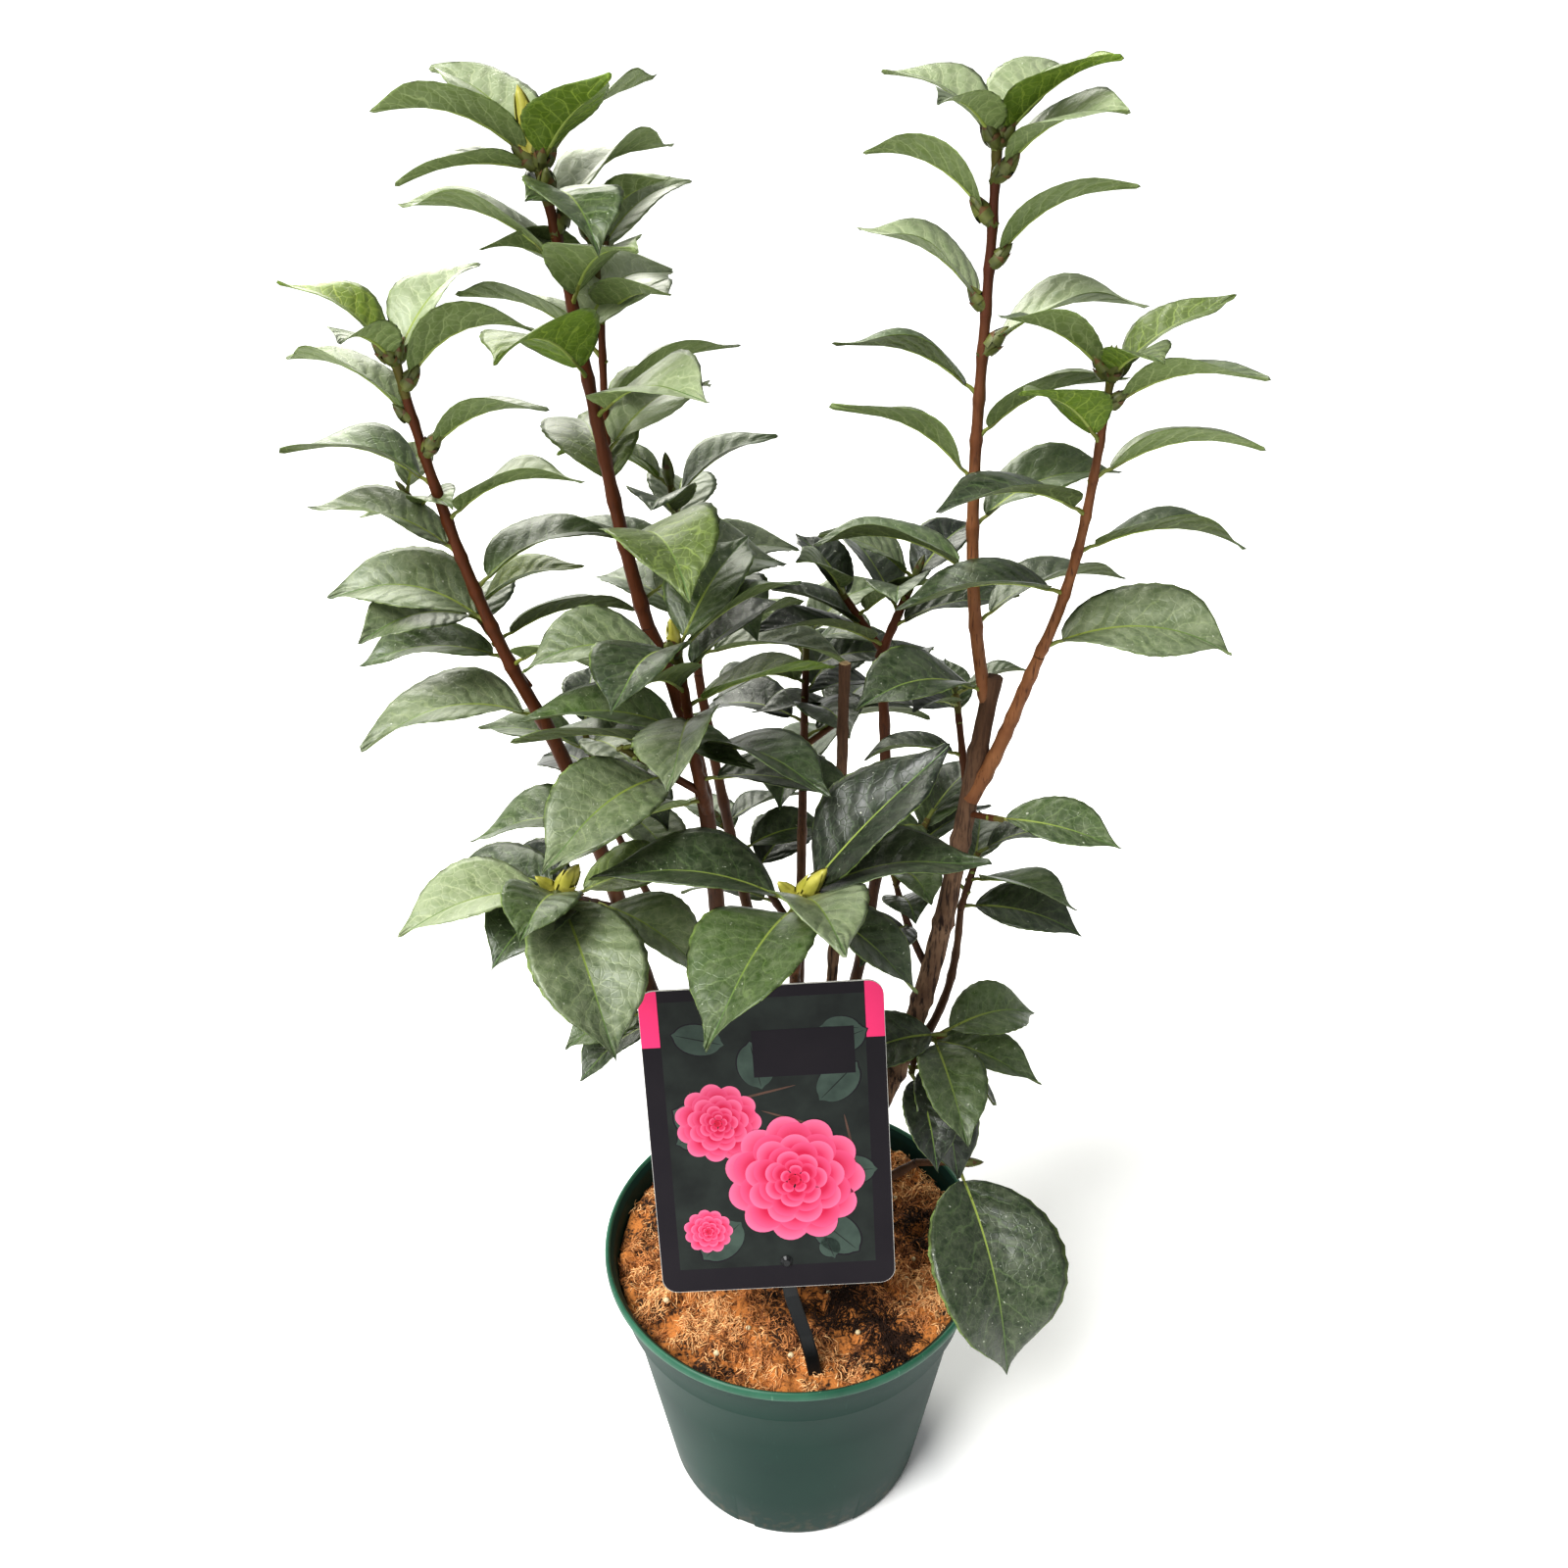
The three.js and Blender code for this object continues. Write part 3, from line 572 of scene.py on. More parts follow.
TIP_LEAVES = (
    TipLeaf("foliage_centre_left_leader", 0, 35, 50, 56, 56, "GREY"),
    TipLeaf("foliage_centre_left_leader", 0, 140, 54, 56, 58, "LIGHT"),
    TipLeaf("foliage_centre_left_leader", 0, 345, 46, 40, 50, "NEW"),
    TipLeaf("foliage_centre_left_leader", 0, 198, 14, 46, 48, "GREY"),
    TipLeaf("foliage_centre_left_leader", 1, 330, 56, 60, 40, "LIGHT"),
    TipLeaf("foliage_centre_left_leader", 1, 60, 58, 60, 40, "FRESH"),
    TipLeaf("foliage_right_leader", 0, 320, 52, 48, 50, "NEW"),
    TipLeaf("foliage_right_leader", 0, 50, 52, 56, 52, "LIGHT"),
    TipLeaf("foliage_right_leader", 0, 215, 46, 62, 42, "GREY"),
    TipLeaf("foliage_left_leader", 0, 25, 58, 60, 54, "LIGHT"),
    TipLeaf("foliage_left_leader", 0, 110, 60, 60, 44, "GREY"),
    TipLeaf("foliage_left_leader", 0, 255, 46, 66, 42, "GREY"),
    TipLeaf("foliage_right_outer", 0, 40, 50, 50, 48, "FRESH"),
    TipLeaf("foliage_right_outer", 0, 150, 52, 60, 50, "LIGHT"),
    TipLeaf("foliage_right_outer", 0, 290, 42, 60, 40, "FRESH"),
    TipLeaf("foliage_front", 0, 38, 52, 22, 80, "DEEP"),
    TipLeaf("foliage_front", 0, 112, 66, 22, 66, "DEEP"),
    TipLeaf("foliage_front", 0, 330, -6, 60, 56, "OLD"),
    TipLeaf("foliage_left_low", 0, 290, 0, 66, 78, "GREY"),
    TipLeaf("foliage_left_low", 0, 215, 24, 60, 66, "LIGHT"),
    TipLeaf("foliage_centre", 0, 20, 50, 50, 60, "GROWN"),
    TipLeaf("foliage_centre", 0, 250, 30, 70, 62, "OLD"),
)
# Degrees that a tip leaf sweeps sideways, and the turns that are tried for it in order.
TIP_SWEEP = 8
TIP_TURNS = (0, 12, -12, 24, -24, 36, -36)
# Degrees by which a leaf of a mass's first shoot hangs lower than the rule has it, so that the bud
# behind it shows.
BOWED = {("foliage_centre_left_leader", 10): 40}


@dataclass
class Growth:
    """Grows every leaf by the seeded rule, mass by mass.

    Args:
        card: where the label card stands.
        space: the room that is taken.
        leaves: the grown leaves by mass and shoot.
    """

    card: CardPlace
    space: Space = field(default_factory=Space)
    leaves: dict[tuple[str, int], list[Leaf]] = field(default_factory=dict)

    def grow(self) -> None:
        """Fills in the leaves of every shoot."""
        self.space.take("label_card", self.card.samples(), 1)
        for name, course in LIMBS.items():
            self.space.take_course(name, course)
        for name, mass in MASSES.items():
            for shoot in mass.shoots:
                self.space.take_course(name, shoot.course)
        for name, mass in MASSES.items():
            for index in range(len(mass.shoots)):
                self.on_shoot(name, index, seeded(mass.seed + index))
        for mass_name, number in BOWED:
            self.leaves[mass_name, 0][number].lift -= BOWED[mass_name, number]
        for tip in TIP_LEAVES:
            self.add_tip(tip)

    def settle(self, leaf: Leaf, index: int, turns: Iterable[float]) -> bool:
        """Keeps a leaf at the first turn at which it is clear.

        Args:
            leaf: the leaf.
            index: its shoot.
            turns: degrees to try in turn.

        Returns:
            True if it found room.
        """
        for turn in turns:
            if self.space.is_clear(leaf.mass, leaf.samples(turn)):
                leaf.az += turn
                self.space.take(leaf.mass, leaf.samples()[RULE.skipped:], 0, leafy=True)
                self.leaves[leaf.mass, index].append(leaf)
                return True
        return False

    def add_tip(self, tip: TipLeaf) -> None:
        """Adds a leaf beside the bud at a tip, if there is room for it."""
        mass = MASSES[tip.mass]
        leaf = Leaf(
            tip.mass, mass.shoots[tip.index].course.at(RULE.tip), RULE.tip, tip.az, tip.lift, tip.droop, 0,
            TIP_SWEEP, tip.long, tip.long * mass.slender, 1, Tone[tip.tone],
        )
        if not self.settle(leaf, tip.index, TIP_TURNS):
            LOG.info("no room for a tip leaf at %s heading %d", tip.mass, tip.az)

    def on_shoot(self, owner: str, index: int, draw: Draw) -> None:
        """Grows one shoot's leaves from foot to tip, each turned aside or left out if it isn't clear.

        Args:
            owner: the mass.
            index: its shoot.
            draw: gives the next random number.
        """
        shoot, slender = MASSES[owner].shoots[index], MASSES[owner].slender
        grown = self.leaves.setdefault((owner, index), [])
        for i in range(shoot.leaves):
            step = 0 if shoot.leaves == 1 else (i / (shoot.leaves - 1)) ** RULE.crowding
            f = shoot.first + (1 - shoot.first) * step
            t = min(RULE.tip, f)
            draws = [(draw() - 0.5) * shoot.loose for _ in RULE.scatter]
            az, lift, droop, roll, sweep = (wide * share for wide, share in zip(RULE.scatter, draws))
            long = shoot.long * (RULE.longest - RULE.shorter * f) * (1 + RULE.uneven * draws[2])
            leaf = Leaf(
                owner, shoot.course.at(t), t, shoot.az + shoot.turn * i + az,
                shoot.lift + lift + RULE.rising * (f - 0.5), shoot.droop + droop, roll, sweep,
                long, long * slender, f, number=len(grown),
            )
            self.settle(leaf, index, RULE.turns)


# ------------------------------------------------------------------ finishes
def srgb(code: str) -> tuple[float, float, float, float]:
    """Turns an sRGB hex colour to linear values.

    Args:
        code: six hex digits after a #.

    Returns:
        Red, green, blue and an alpha of 1.
    """
    parts = [int(code[i:i + 2], 16) / 255 for i in (1, 3, 5)]
    linear = [v / 12.92 if v <= 0.04045 else ((v + 0.055) / 1.055) ** 2.4 for v in parts]
    return (*linear, 1.0)


def add_node(
    tree: bpy.types.NodeTree, kind: str, settings: dict | None = None, links: dict | None = None,
) -> bpy.types.Node:
    """Adds a node with its settings and links.

    Args:
        tree: the node tree.
        kind: the node's type name.
        settings: attribute or input names, or input numbers, and their values.
        links: input names or numbers, and the output sockets that feed them.

    Returns:
        The node.
    """
    node = tree.nodes.new(kind)
    for key, value in (settings or {}).items():
        if isinstance(key, str) and hasattr(node, key):
            setattr(node, key, value)
        else:
            node.inputs[key].default_value = value
    for key, socket in (links or {}).items():
        tree.links.new(socket, node.inputs[key])
    return node


@dataclass(frozen=True)
class Shading:
    """A material while it is built; each method adds one node and returns its output.

    Args:
        tree: the node tree.
        shader: its Principled shader.
        place: the piece's own coordinates.
    """

    tree: bpy.types.NodeTree
    shader: bpy.types.Node
    place: Socket

    def feed(self, **sockets: Socket) -> None:
        """Leads sockets to the shader's inputs, an underscore standing for a space.

        Args:
            sockets: the socket for each input.
        """
        for name, socket in sockets.items():
            self.tree.links.new(socket, self.shader.inputs[name.replace("_", " ")])

    def noise(self, size: float, detail: float, where: Socket | None = None, rough: float = 0.5) -> Socket:
        """Adds cloudy noise.

        Args:
            size: size of its features in mm.
            detail: octaves of detail.
            where: its coordinates, if not the piece's own.
            rough: strength of the finer octaves.

        Returns:
            Values from 0 to 1.
        """
        settings = {"Scale": 1 / (size * MM), "Detail": float(detail), "Roughness": rough}
        where = self.place if where is None else where
        return add_node(self.tree, "ShaderNodeTexNoise", settings, {"Vector": where}).outputs[0]

    def drawn(self, stretch: Triple) -> Socket:
        """Returns the piece's coordinates, scaled by the stretch along x, y and z."""
        return add_node(self.tree, "ShaderNodeMapping", {"Scale": stretch}, {"Vector": self.place}).outputs[0]

    def span(self, value: Socket, low: float, high: float, first: float = 0, last: float = 1) -> Socket:
        """Spreads a value out and clamps it.

        Args:
            value: the value.
            low: the value that becomes the first one.
            high: the value that becomes the last one.
            first: result at low.
            last: result at high.

        Returns:
            The result.
        """
        settings = {1: low, 2: high, 3: first, 4: last}
        return add_node(self.tree, "ShaderNodeMapRange", settings, {0: value}).outputs[0]

    def math(self, kind: str, *terms: float | Socket) -> Socket:
        """Works out a sum.

        Args:
            kind: the operation.
            terms: its numbers and sockets in order.

        Returns:
            The result.
        """
        numbers = {k: term for k, term in enumerate(terms) if isinstance(term, int | float)}
        sockets = {k: term for k, term in enumerate(terms) if k not in numbers}
        return add_node(self.tree, "ShaderNodeMath", {"operation": kind, **numbers}, sockets).outputs[0]

    def mix(self, share: Socket, under: str | Socket, over: str) -> Socket:
        """Lays a colour over another.

        Args:
            share: where it shows, from 0 to 1.
            under: the colour beneath.
            over: the colour laid over it.

        Returns:
            The mixed colour.
        """
        plain = isinstance(under, str)
        settings = {"data_type": "RGBA", 7: srgb(over), **({6: srgb(under)} if plain else {})}
        links = {0: share, **({} if plain else {6: under})}
        return add_node(self.tree, "ShaderNodeMix", settings, links).outputs[2]

    def bump(
        self, height: Socket, depth: float, settings: dict | None = None, links: dict | None = None,
    ) -> Socket:
        """Raises fine relief.

        Args:
            height: its height.
            depth: its depth in mm.
            settings: other settings.
            links: other links.

        Returns:
            The bumped normal.
        """
        settings = {"Distance": depth * MM, **(settings or {})}
        return add_node(self.tree, "ShaderNodeBump", settings, {"Height": height, **(links or {})}).outputs[0]

    def parts(self, vector: Socket) -> Sequence[Socket]:
        """Returns the x, y and z of a vector."""
        return add_node(self.tree, "ShaderNodeSeparateXYZ", links={0: vector}).outputs

    def chart(self, name: str) -> Socket:
        """Returns the coordinates of a UV map."""
        return add_node(self.tree, "ShaderNodeUVMap", {"uv_map": name}).outputs[0]


@dataclass(frozen=True)
class Finish:
    """A finish with mottled colour and fine relief, the start of all the others.

    Args:
        name: the material's name.
        colour: its main colour.
        second: the colour of its mottling.
        roughness: surface roughness.
        mottle: size of the mottling in mm.
        grain: size of the fine relief in mm.
        relief: depth of that relief in mm.
        ior: index of refraction.
        coat: weight of a clear skin over it.
    """

    name: str
    colour: str
    second: str
    roughness: float = 0.5
    mottle: float = 20
    grain: float = 0.8
    relief: float = 0.05
    ior: float = 1.46
    coat: float = 0

    COAT_ROUGHNESS = 0.3

    def material(self) -> bpy.types.Material:
        """Returns the material, made once."""
        made = bpy.data.materials.get(self.name)
        if made:
            return made
        made = bpy.data.materials.new(self.name)
        made.use_nodes = True
        made.diffuse_color = srgb(self.colour)
        tree = made.node_tree
        tree.nodes.clear()
        shader = add_node(tree, "ShaderNodeBsdfPrincipled", {
            "Base Color": srgb(self.colour), "Roughness": self.roughness, "IOR": self.ior,
            "Coat Weight": self.coat, "Coat Roughness": self.COAT_ROUGHNESS,
        })
        add_node(tree, "ShaderNodeOutputMaterial", links={"Surface": shader.outputs[0]})
        self.paint(Shading(tree, shader, add_node(tree, "ShaderNodeTexCoord").outputs["Object"]))
        return made

    def mottled(self, shading: Shading) -> Socket:
        """Returns the main colour mottled with the second one."""
        share = shading.span(shading.noise(self.mottle, 3), 0.35, 0.7)
        return shading.mix(share, self.colour, self.second)

    def grained(self, shading: Shading) -> Socket:
        """Returns the normal bumped by the fine relief."""
        return shading.bump(shading.noise(self.grain, 4), self.relief)

    def paint(self, shading: Shading) -> None:
        """Gives the shader its colour and relief."""
        shading.feed(Base_Color=self.mottled(shading), Normal=self.grained(shading))


@dataclass(frozen=True)
class LeafFinish(Finish):
    """A face of a living leaf: faintly veined along the leaf's own UV map, with a pale film of dried water
    and painted sheen, and dust.

    Args:
        vein: colour of the veins.
        film: share of the pale film, dried hard water and painted sky sheen, that dulls the leaf.
        veins: side veins on each half.
        ripple: how far the leaf sinks along them.
        speck: noise value above which a dust speck shows.
        lean: how far the side veins bend towards the tip.
        wander: how far they stray.
        cells: size of the finest meshes between them, in mm.
    """

    roughness: float = 0.42
    mottle: float = 30
    grain: float = 0.7
    relief: float = 0.03
    ior: float = 1.5
    coat: float = 0.3
    vein: str = "#6f8a58"
    film: float = 0.3
    veins: float = 7
    ripple: float = 0.3
    speck: float = 0.71
    lean: float = 0.42
    wander: float = 0.2
    cells: float = 3.4

    # The film colour paints sheen over dried water; the margin and the dust specks are the leaf's own.
    FILM_COLOUR, MARGIN_COLOUR, DUST_COLOUR = "#abb195", "#8fa858", "#d3d6c6"

    def paint(self, shading: Shading) -> None:
        """Gives the shader its colour, gloss and relief."""
        span, sum_of = shading.span, shading.math
        along, level, _ = shading.parts(shading.chart("leaf"))
        across = sum_of("ABSOLUTE", sum_of("SUBTRACT", level, 0.5))
        stray = shading.noise(11, 2)
        # side veins leave the midrib and bend towards the tip
        leaning = sum_of("MULTIPLY_ADD", across, -self.lean, along)
        loose = sum_of("MULTIPLY_ADD", stray, self.wander, leaning)
        wave = sum_of("COSINE", sum_of("MULTIPLY", loose, self.veins * 2 * math.pi))
        side_veins = sum_of("MULTIPLY", span(wave, 0.93, 1), span(across, 0.42, 0.25))
        mesh = add_node(shading.tree, "ShaderNodeTexVoronoi", {
            "feature": "DISTANCE_TO_EDGE", "Scale": 1 / (self.cells * MM),
        }, {"Vector": shading.place})
        net = span(mesh.outputs["Distance"], 0.09, 0)
        margin = span(across, 0.472, 0.492)
        # pale patches of the film: dried water and painted sheen
        film = span(shading.noise(4.5, 6, rough=0.7), 0.36, 0.8)
        dust = span(shading.noise(1.7, 2), self.speck, self.speck + 0.05)
        colour = self.mottled(shading)
        for share, weight, over in (
            (net, 0.28, self.vein), (side_veins, 0.5, self.vein), (film, self.film, self.FILM_COLOUR),
            (margin, 0.6, self.MARGIN_COLOUR), (dust, 0.6, self.DUST_COLOUR),
        ):
            colour = shading.mix(sum_of("MULTIPLY", share, weight), colour, over)
        swell = sum_of("MULTIPLY_ADD", wave, -self.ripple, stray)
        sunk = sum_of("MULTIPLY_ADD", net, -0.12, swell)
        quilt = shading.bump(sunk, 0.6, {"Strength": 0.9})
        skin = shading.bump(shading.noise(self.grain, 2), self.relief, links={"Normal": quilt})
        matt = span(film, 0, 1, self.roughness, self.roughness + 0.12)
        shading.feed(Base_Color=colour, Roughness=matt, Normal=skin)


@dataclass(frozen=True)
class UndersideFinish(LeafFinish):
    """A leaf's underside, which has no wax and scatters light."""

    roughness: float = 0.6
    mottle: float = 26
    grain: float = 0.9
    relief: float = 0.06
    ior: float = 1.4
    coat: float = 0
    speck: float = 0.9


@dataclass(frozen=True)
class MidribFinish(Finish):
    """The midrib, pale at the leaf's foot and sunk into the green at its tip.

    Args:
        faint: its colour towards the tip.
    """

    faint: str = "#56703f"

    def paint(self, shading: Shading) -> None:
        """Lets the colour fade along the leaf's own UV map."""
        along = shading.parts(shading.chart("leaf"))[0]
        shading.feed(Base_Color=shading.mix(shading.span(along, 0.25, 0.85), self.colour, self.faint))


@dataclass(frozen=True)
class BarkFinish(Finish):
    """Bark that splits into long shallow furrows as it ages, and is younger higher up.

    Args:
        furrow: colour in the furrows.
        young: colour of the younger bark above.
        change: heights in mm between which the bark turns young.
        wide: width of a furrow in mm.
        split: share of the surface left smooth, from 0 to 1.
        drawn_out: scale of the furrows along the stem.
    """

    mottle: float = 12
    grain: float = 1
    ior: float = 1.3
    furrow: str = "#3a2a22"
    young: str = "#5a3020"
    change: tuple[float, float] = (300, 400)
    wide: float = 1
    split: float = 0.56
    drawn_out: float = 0.12

    def paint(self, shading: Shading) -> None:
        """Draws the furrows out along the upright stems."""
        along = shading.drawn((1, 1, self.drawn_out))
        ridges = shading.noise(self.wide, 5, along, 0.6)
        low, high = (level * MM for level in self.change)
        age = shading.span(shading.parts(shading.place)[2], low, high)
        aged = shading.mix(age, self.mottled(shading), self.young)
        cracks = shading.span(ridges, self.split, self.split + 0.14)
        shown = shading.math("MULTIPLY", cracks, shading.span(age, 0, 1, 1, 0.35))
        shading.feed(
            Base_Color=shading.mix(shown, aged, self.furrow),
            Normal=shading.bump(ridges, self.relief, {"invert": True}),
        )


@dataclass(frozen=True)
class SoilFinish(Finish):
    """Compost: dark damp bark under patches of dry coir dust.

    Args:
        coir: colour of the dry coir.
        crumb: size of its crumbs in mm.
        patch: size of the dry patches in mm.
    """

    coir: str = "#b5763c"
    crumb: float = 1.6
    patch: float = 14

    def paint(self, shading: Shading) -> None:
        """Lays dry coir over the damp bark."""
        crumbs = shading.noise(self.crumb, 4)
        both = shading.math("ADD", shading.noise(self.patch, 3), crumbs)
        dry = shading.span(both, 0.86, 1.08)
        colour = shading.mix(dry, self.mottled(shading), self.coir)
        shading.feed(Base_Color=colour, Normal=shading.bump(crumbs, self.relief))


@dataclass(frozen=True)
class MouldedPlasticFinish(Finish):
    """Moulded polypropylene: satin, faintly clouded, with upright scuffs and dust.

    Args:
        scuff: colour of the scuffs.
        dust: colour of dried compost near the foot.
        dust_top: height in mm up to which that dust reaches.
    """

    grain: float = 0.5
    relief: float = 0.02
    scuff: str = "#6f8f83"
    dust: str = "#6a5a48"
    dust_top: float = 26

    def paint(self, shading: Shading) -> None:
        """Lays scuffs and dust over the clouded plastic."""
        marks = shading.noise(2.2, 4, shading.drawn((1, 1, 0.1)))
        worn = shading.span(marks, 0.66, 0.78, 0, 0.35)
        scuffed = shading.mix(worn, self.mottled(shading), self.scuff)
        low = shading.span(shading.parts(shading.place)[2], self.dust_top * MM, 0, 0, 0.5)
        share = shading.math("MULTIPLY", low, shading.span(shading.noise(5, 5), 0.5, 0.72))
        shading.feed(Base_Color=shading.mix(share, scuffed, self.dust), Normal=self.grained(shading))


@dataclass(frozen=True)
class InkFinish(Finish):
    """Flat printing ink on a plastic card."""

    mottle: float = 6
    relief: float = 0.005
    ior: float = 1.3


@dataclass(frozen=True)
class PetalFinish(InkFinish):
    """A printed petal, deep at its hidden foot and paling to its rim.

    Args:
        heart: where its deepest colour lies, along and across the petal.
        fade: distances from there between which it pales.
    """

    heart: tuple[float, float] = (0.3, 0.5)
    fade: tuple[float, float] = (0.3, 0.66)

    def paint(self, shading: Shading) -> None:
        """Shades the petal along its own UV map."""
        far = add_node(shading.tree, "ShaderNodeVectorMath", {
            "operation": "DISTANCE", 1: (*self.heart, 0),
        }, {0: shading.chart("UVMap")})
        pale = shading.span(far.outputs["Value"], *self.fade)
        shading.feed(Base_Color=shading.mix(pale, self.colour, self.second))


class Tone(Enum):
    """A leaf's age and light, from the old ones inside to the new ones at the tips: DEEP is painted shade,
    and GREY and LIGHT are paler with painted sheen over dust.
    """

    DEEP = LeafFinish("deep_shade_camellia_leaf", "#0e180e", "#172312", 0.36, 34, vein="#3f5236", film=0.12)
    OLD = LeafFinish("old_camellia_leaf", "#1c2a15", "#2a3b1e", 0.36, 34, vein="#52673c", film=0.22)
    GROWN = LeafFinish("grown_camellia_leaf", "#33461f", "#465b2d", 0.38, 34, vein="#6d814c", film=0.32)
    GREY = LeafFinish(
        "dusty_sheen_camellia_leaf", "#4e5c3f", "#63714e", 0.4, vein="#879468", film=0.5, veins=8, ripple=0.36,
    )
    LIGHT = LeafFinish("light_camellia_leaf", "#76855d", "#919e79", 0.43, vein="#b8c198", film=0.6)
    FRESH = LeafFinish("fresh_camellia_leaf", "#43541b", "#556626", vein="#8fa150", film=0.2)
    NEW = LeafFinish("new_camellia_leaf", "#5c7016", "#728726", coat=0.25, vein="#acb956", film=0.12)


# Undersides look dull; under the grey and light leaves they are paler, matching those leaves' dust and
# painted sheen.
UNDERSIDE = UndersideFinish("leaf_underside", "#3d4a1e", "#4c5a2b", vein="#7d8c52", film=0.1)
PALE_UNDERSIDE = UndersideFinish("pale_leaf_underside", "#5e6f3a", "#73844e", vein="#a3b07c", film=0.2)
NEW_UNDERSIDE = UndersideFinish(
    "new_leaf_underside", "#4f660f", "#607a1c", 0.55, relief=0.05, vein="#9db04c", film=0.1,
)
# The midrib is a corky yellow-green at the foot of the leaf.
MIDRIB = MidribFinish("leaf_midrib", "#8d9c4e", "#8d9c4e", 0.45)
# Leaf stalks are young green skin that reddens a little in the light.
STALK = Finish("leaf_stalk", "#69742f", "#7c7f3a", 0.45, 12, 0.6, 0.03)
# Ripe wood is grey-brown and split.
OLD_BARK = BarkFinish(
    "old_split_bark", "#624a3a", "#866c56", 0.85, relief=0.5, furrow="#2c1e18", young="#58402f",
    change=(330, 430), wide=1.5, split=0.48,
)
# The outer stem's bark is a year younger, bare and orange-brown.
ORANGE_BARK = BarkFinish(
    "orange_brown_bark", "#70472b", "#8a5f3d", 0.55, 14, relief=0.3, furrow="#472a1a", young="#4f2a1a",
    change=(500, 600),
)
# Last year's wood is smooth and red-brown.
BROWN_BARK = BarkFinish(
    "red_brown_bark", "#432a1b", "#5b3d24", 0.5, 16, relief=0.25, furrow="#20130d", young="#542b12",
    change=(330, 440),
)
# The tips are still green.
GREEN_BARK = BarkFinish(
    "green_twig_bark", "#5c5528", "#6b4026", 0.5, 10, relief=0.12,
    furrow="#3c2c1a", young="#5c5528", split=0.66,
)
# The sawn end of a stem is bare grey-yellow wood.
CUT_WOOD = Finish("dry_cut_wood", "#a08a68", "#7d6747", 0.8, 2, 0.4, 0.1)
# Flower buds have overlapping olive scales with dry brown edges; the opening ones are butter yellow.
BUD_SCALE = Finish("bud_scale", "#4d532a", "#686d34", 0.45, 4, 0.5, 0.04)
BUD_TIP = Finish("dry_bud_scale", "#513b24", "#6f522c", 0.6, 3, 0.5, 0.05)
NEW_BUD = Finish("opening_bud_scale", "#99963a", "#b8b25a", 0.42, 6, 0.5, 0.03)
# The pot is dark green moulded polypropylene; its lip is paler, a painted highlight along the rim.
POT_PLASTIC = MouldedPlasticFinish(
    "moulded_green_polypropylene", "#13312a", "#18382f", 0.45, 60, ior=1.2, scuff="#31544a",
)
LIP_PLASTIC = MouldedPlasticFinish(
    "pot_lip_painted_highlight", "#23503e", "#376a54", 0.4, 25, ior=1.35, scuff="#86ab93", dust_top=0.1,
)
# Bark and coir compost: dry orange coir over dark damp bark, dull and fibrous.
SOIL = SoilFinish("bark_and_coir_compost", "#24150d", "#4a2c18", 0.95, 7, 1.2, 1.0)
# The card is white polystyrene sheet and its strap black polypropylene.
CARD_SHEET = Finish("white_polystyrene_sheet", "#c9c8c4", "#bfbfba", 0.42, 30, 0.8, 0.01, 1.55)
STRAP_PLASTIC = Finish("black_polypropylene", "#0b0d0e", "#131618", 0.4, 14, 0.7, 0.03, 1.49)


# ------------------------------------------------------------------ modelling helpers
def deselect() -> None:
    """Leaves edit mode and deselects everything."""
    if bpy.context.object and bpy.context.object.mode != "OBJECT":
        bpy.ops.object.mode_set(mode="OBJECT")
    bpy.ops.object.select_all(action="DESELECT")


def chosen(name: str) -> Piece:
    """Names the object that an operator has just added, and its data, and returns it."""
    piece = bpy.context.object
    piece.name = piece.data.name = name
    return piece


def pick(*pieces: Piece) -> None:
    """Selects only these pieces and makes the first one active."""
    deselect()
    for piece in pieces:
        piece.select_set(True)
    bpy.context.view_layer.objects.active = pieces[0]


def apply_place(piece: Piece) -> None:
    """Puts an object's place, turn and scale into its mesh."""
    pick(piece)
    bpy.ops.object.transform_apply(location=True, rotation=True, scale=True)


def apply_modifiers(piece: Piece) -> None:
    """Applies all of a piece's modifiers."""
    pick(piece)
    for modifier in list(piece.modifiers):
        bpy.ops.object.modifier_apply(modifier=modifier.name)


def tidy_skin(piece: Piece, merge: float = 1e-6) -> None:
    """Merges doubles and turns the faces outwards.

    Args:
        piece: the mesh.
        merge: distance under which points are one, in metres.
    """
    pick(piece)
    bpy.ops.object.mode_set(mode="EDIT")
    bpy.ops.mesh.select_all(action="SELECT")
    bpy.ops.mesh.remove_doubles(threshold=merge)
    bpy.ops.mesh.normals_make_consistent(inside=False)
    bpy.ops.object.mode_set(mode="OBJECT")


def smooth(piece: Piece, angle: float) -> None:
    """Shades a piece smooth where its faces meet under an angle in degrees."""
    pick(piece)
    bpy.ops.object.shade_smooth_by_angle(angle=math.radians(angle))


def dress(piece: Piece, *finishes: Finish) -> None:
    """Gives a piece its materials."""
    for finish in finishes:
        piece.data.materials.append(finish.material())


def join(pieces: Sequence[Piece], name: str) -> Piece:
    """Joins pieces into one.

    Args:
        pieces: the pieces, of which the first stays.
        name: the joined piece's name.

    Returns:
        The joined piece.
    """
    pick(*pieces)
    if len(pieces) > 1:
        bpy.ops.object.join()
    return chosen(name)


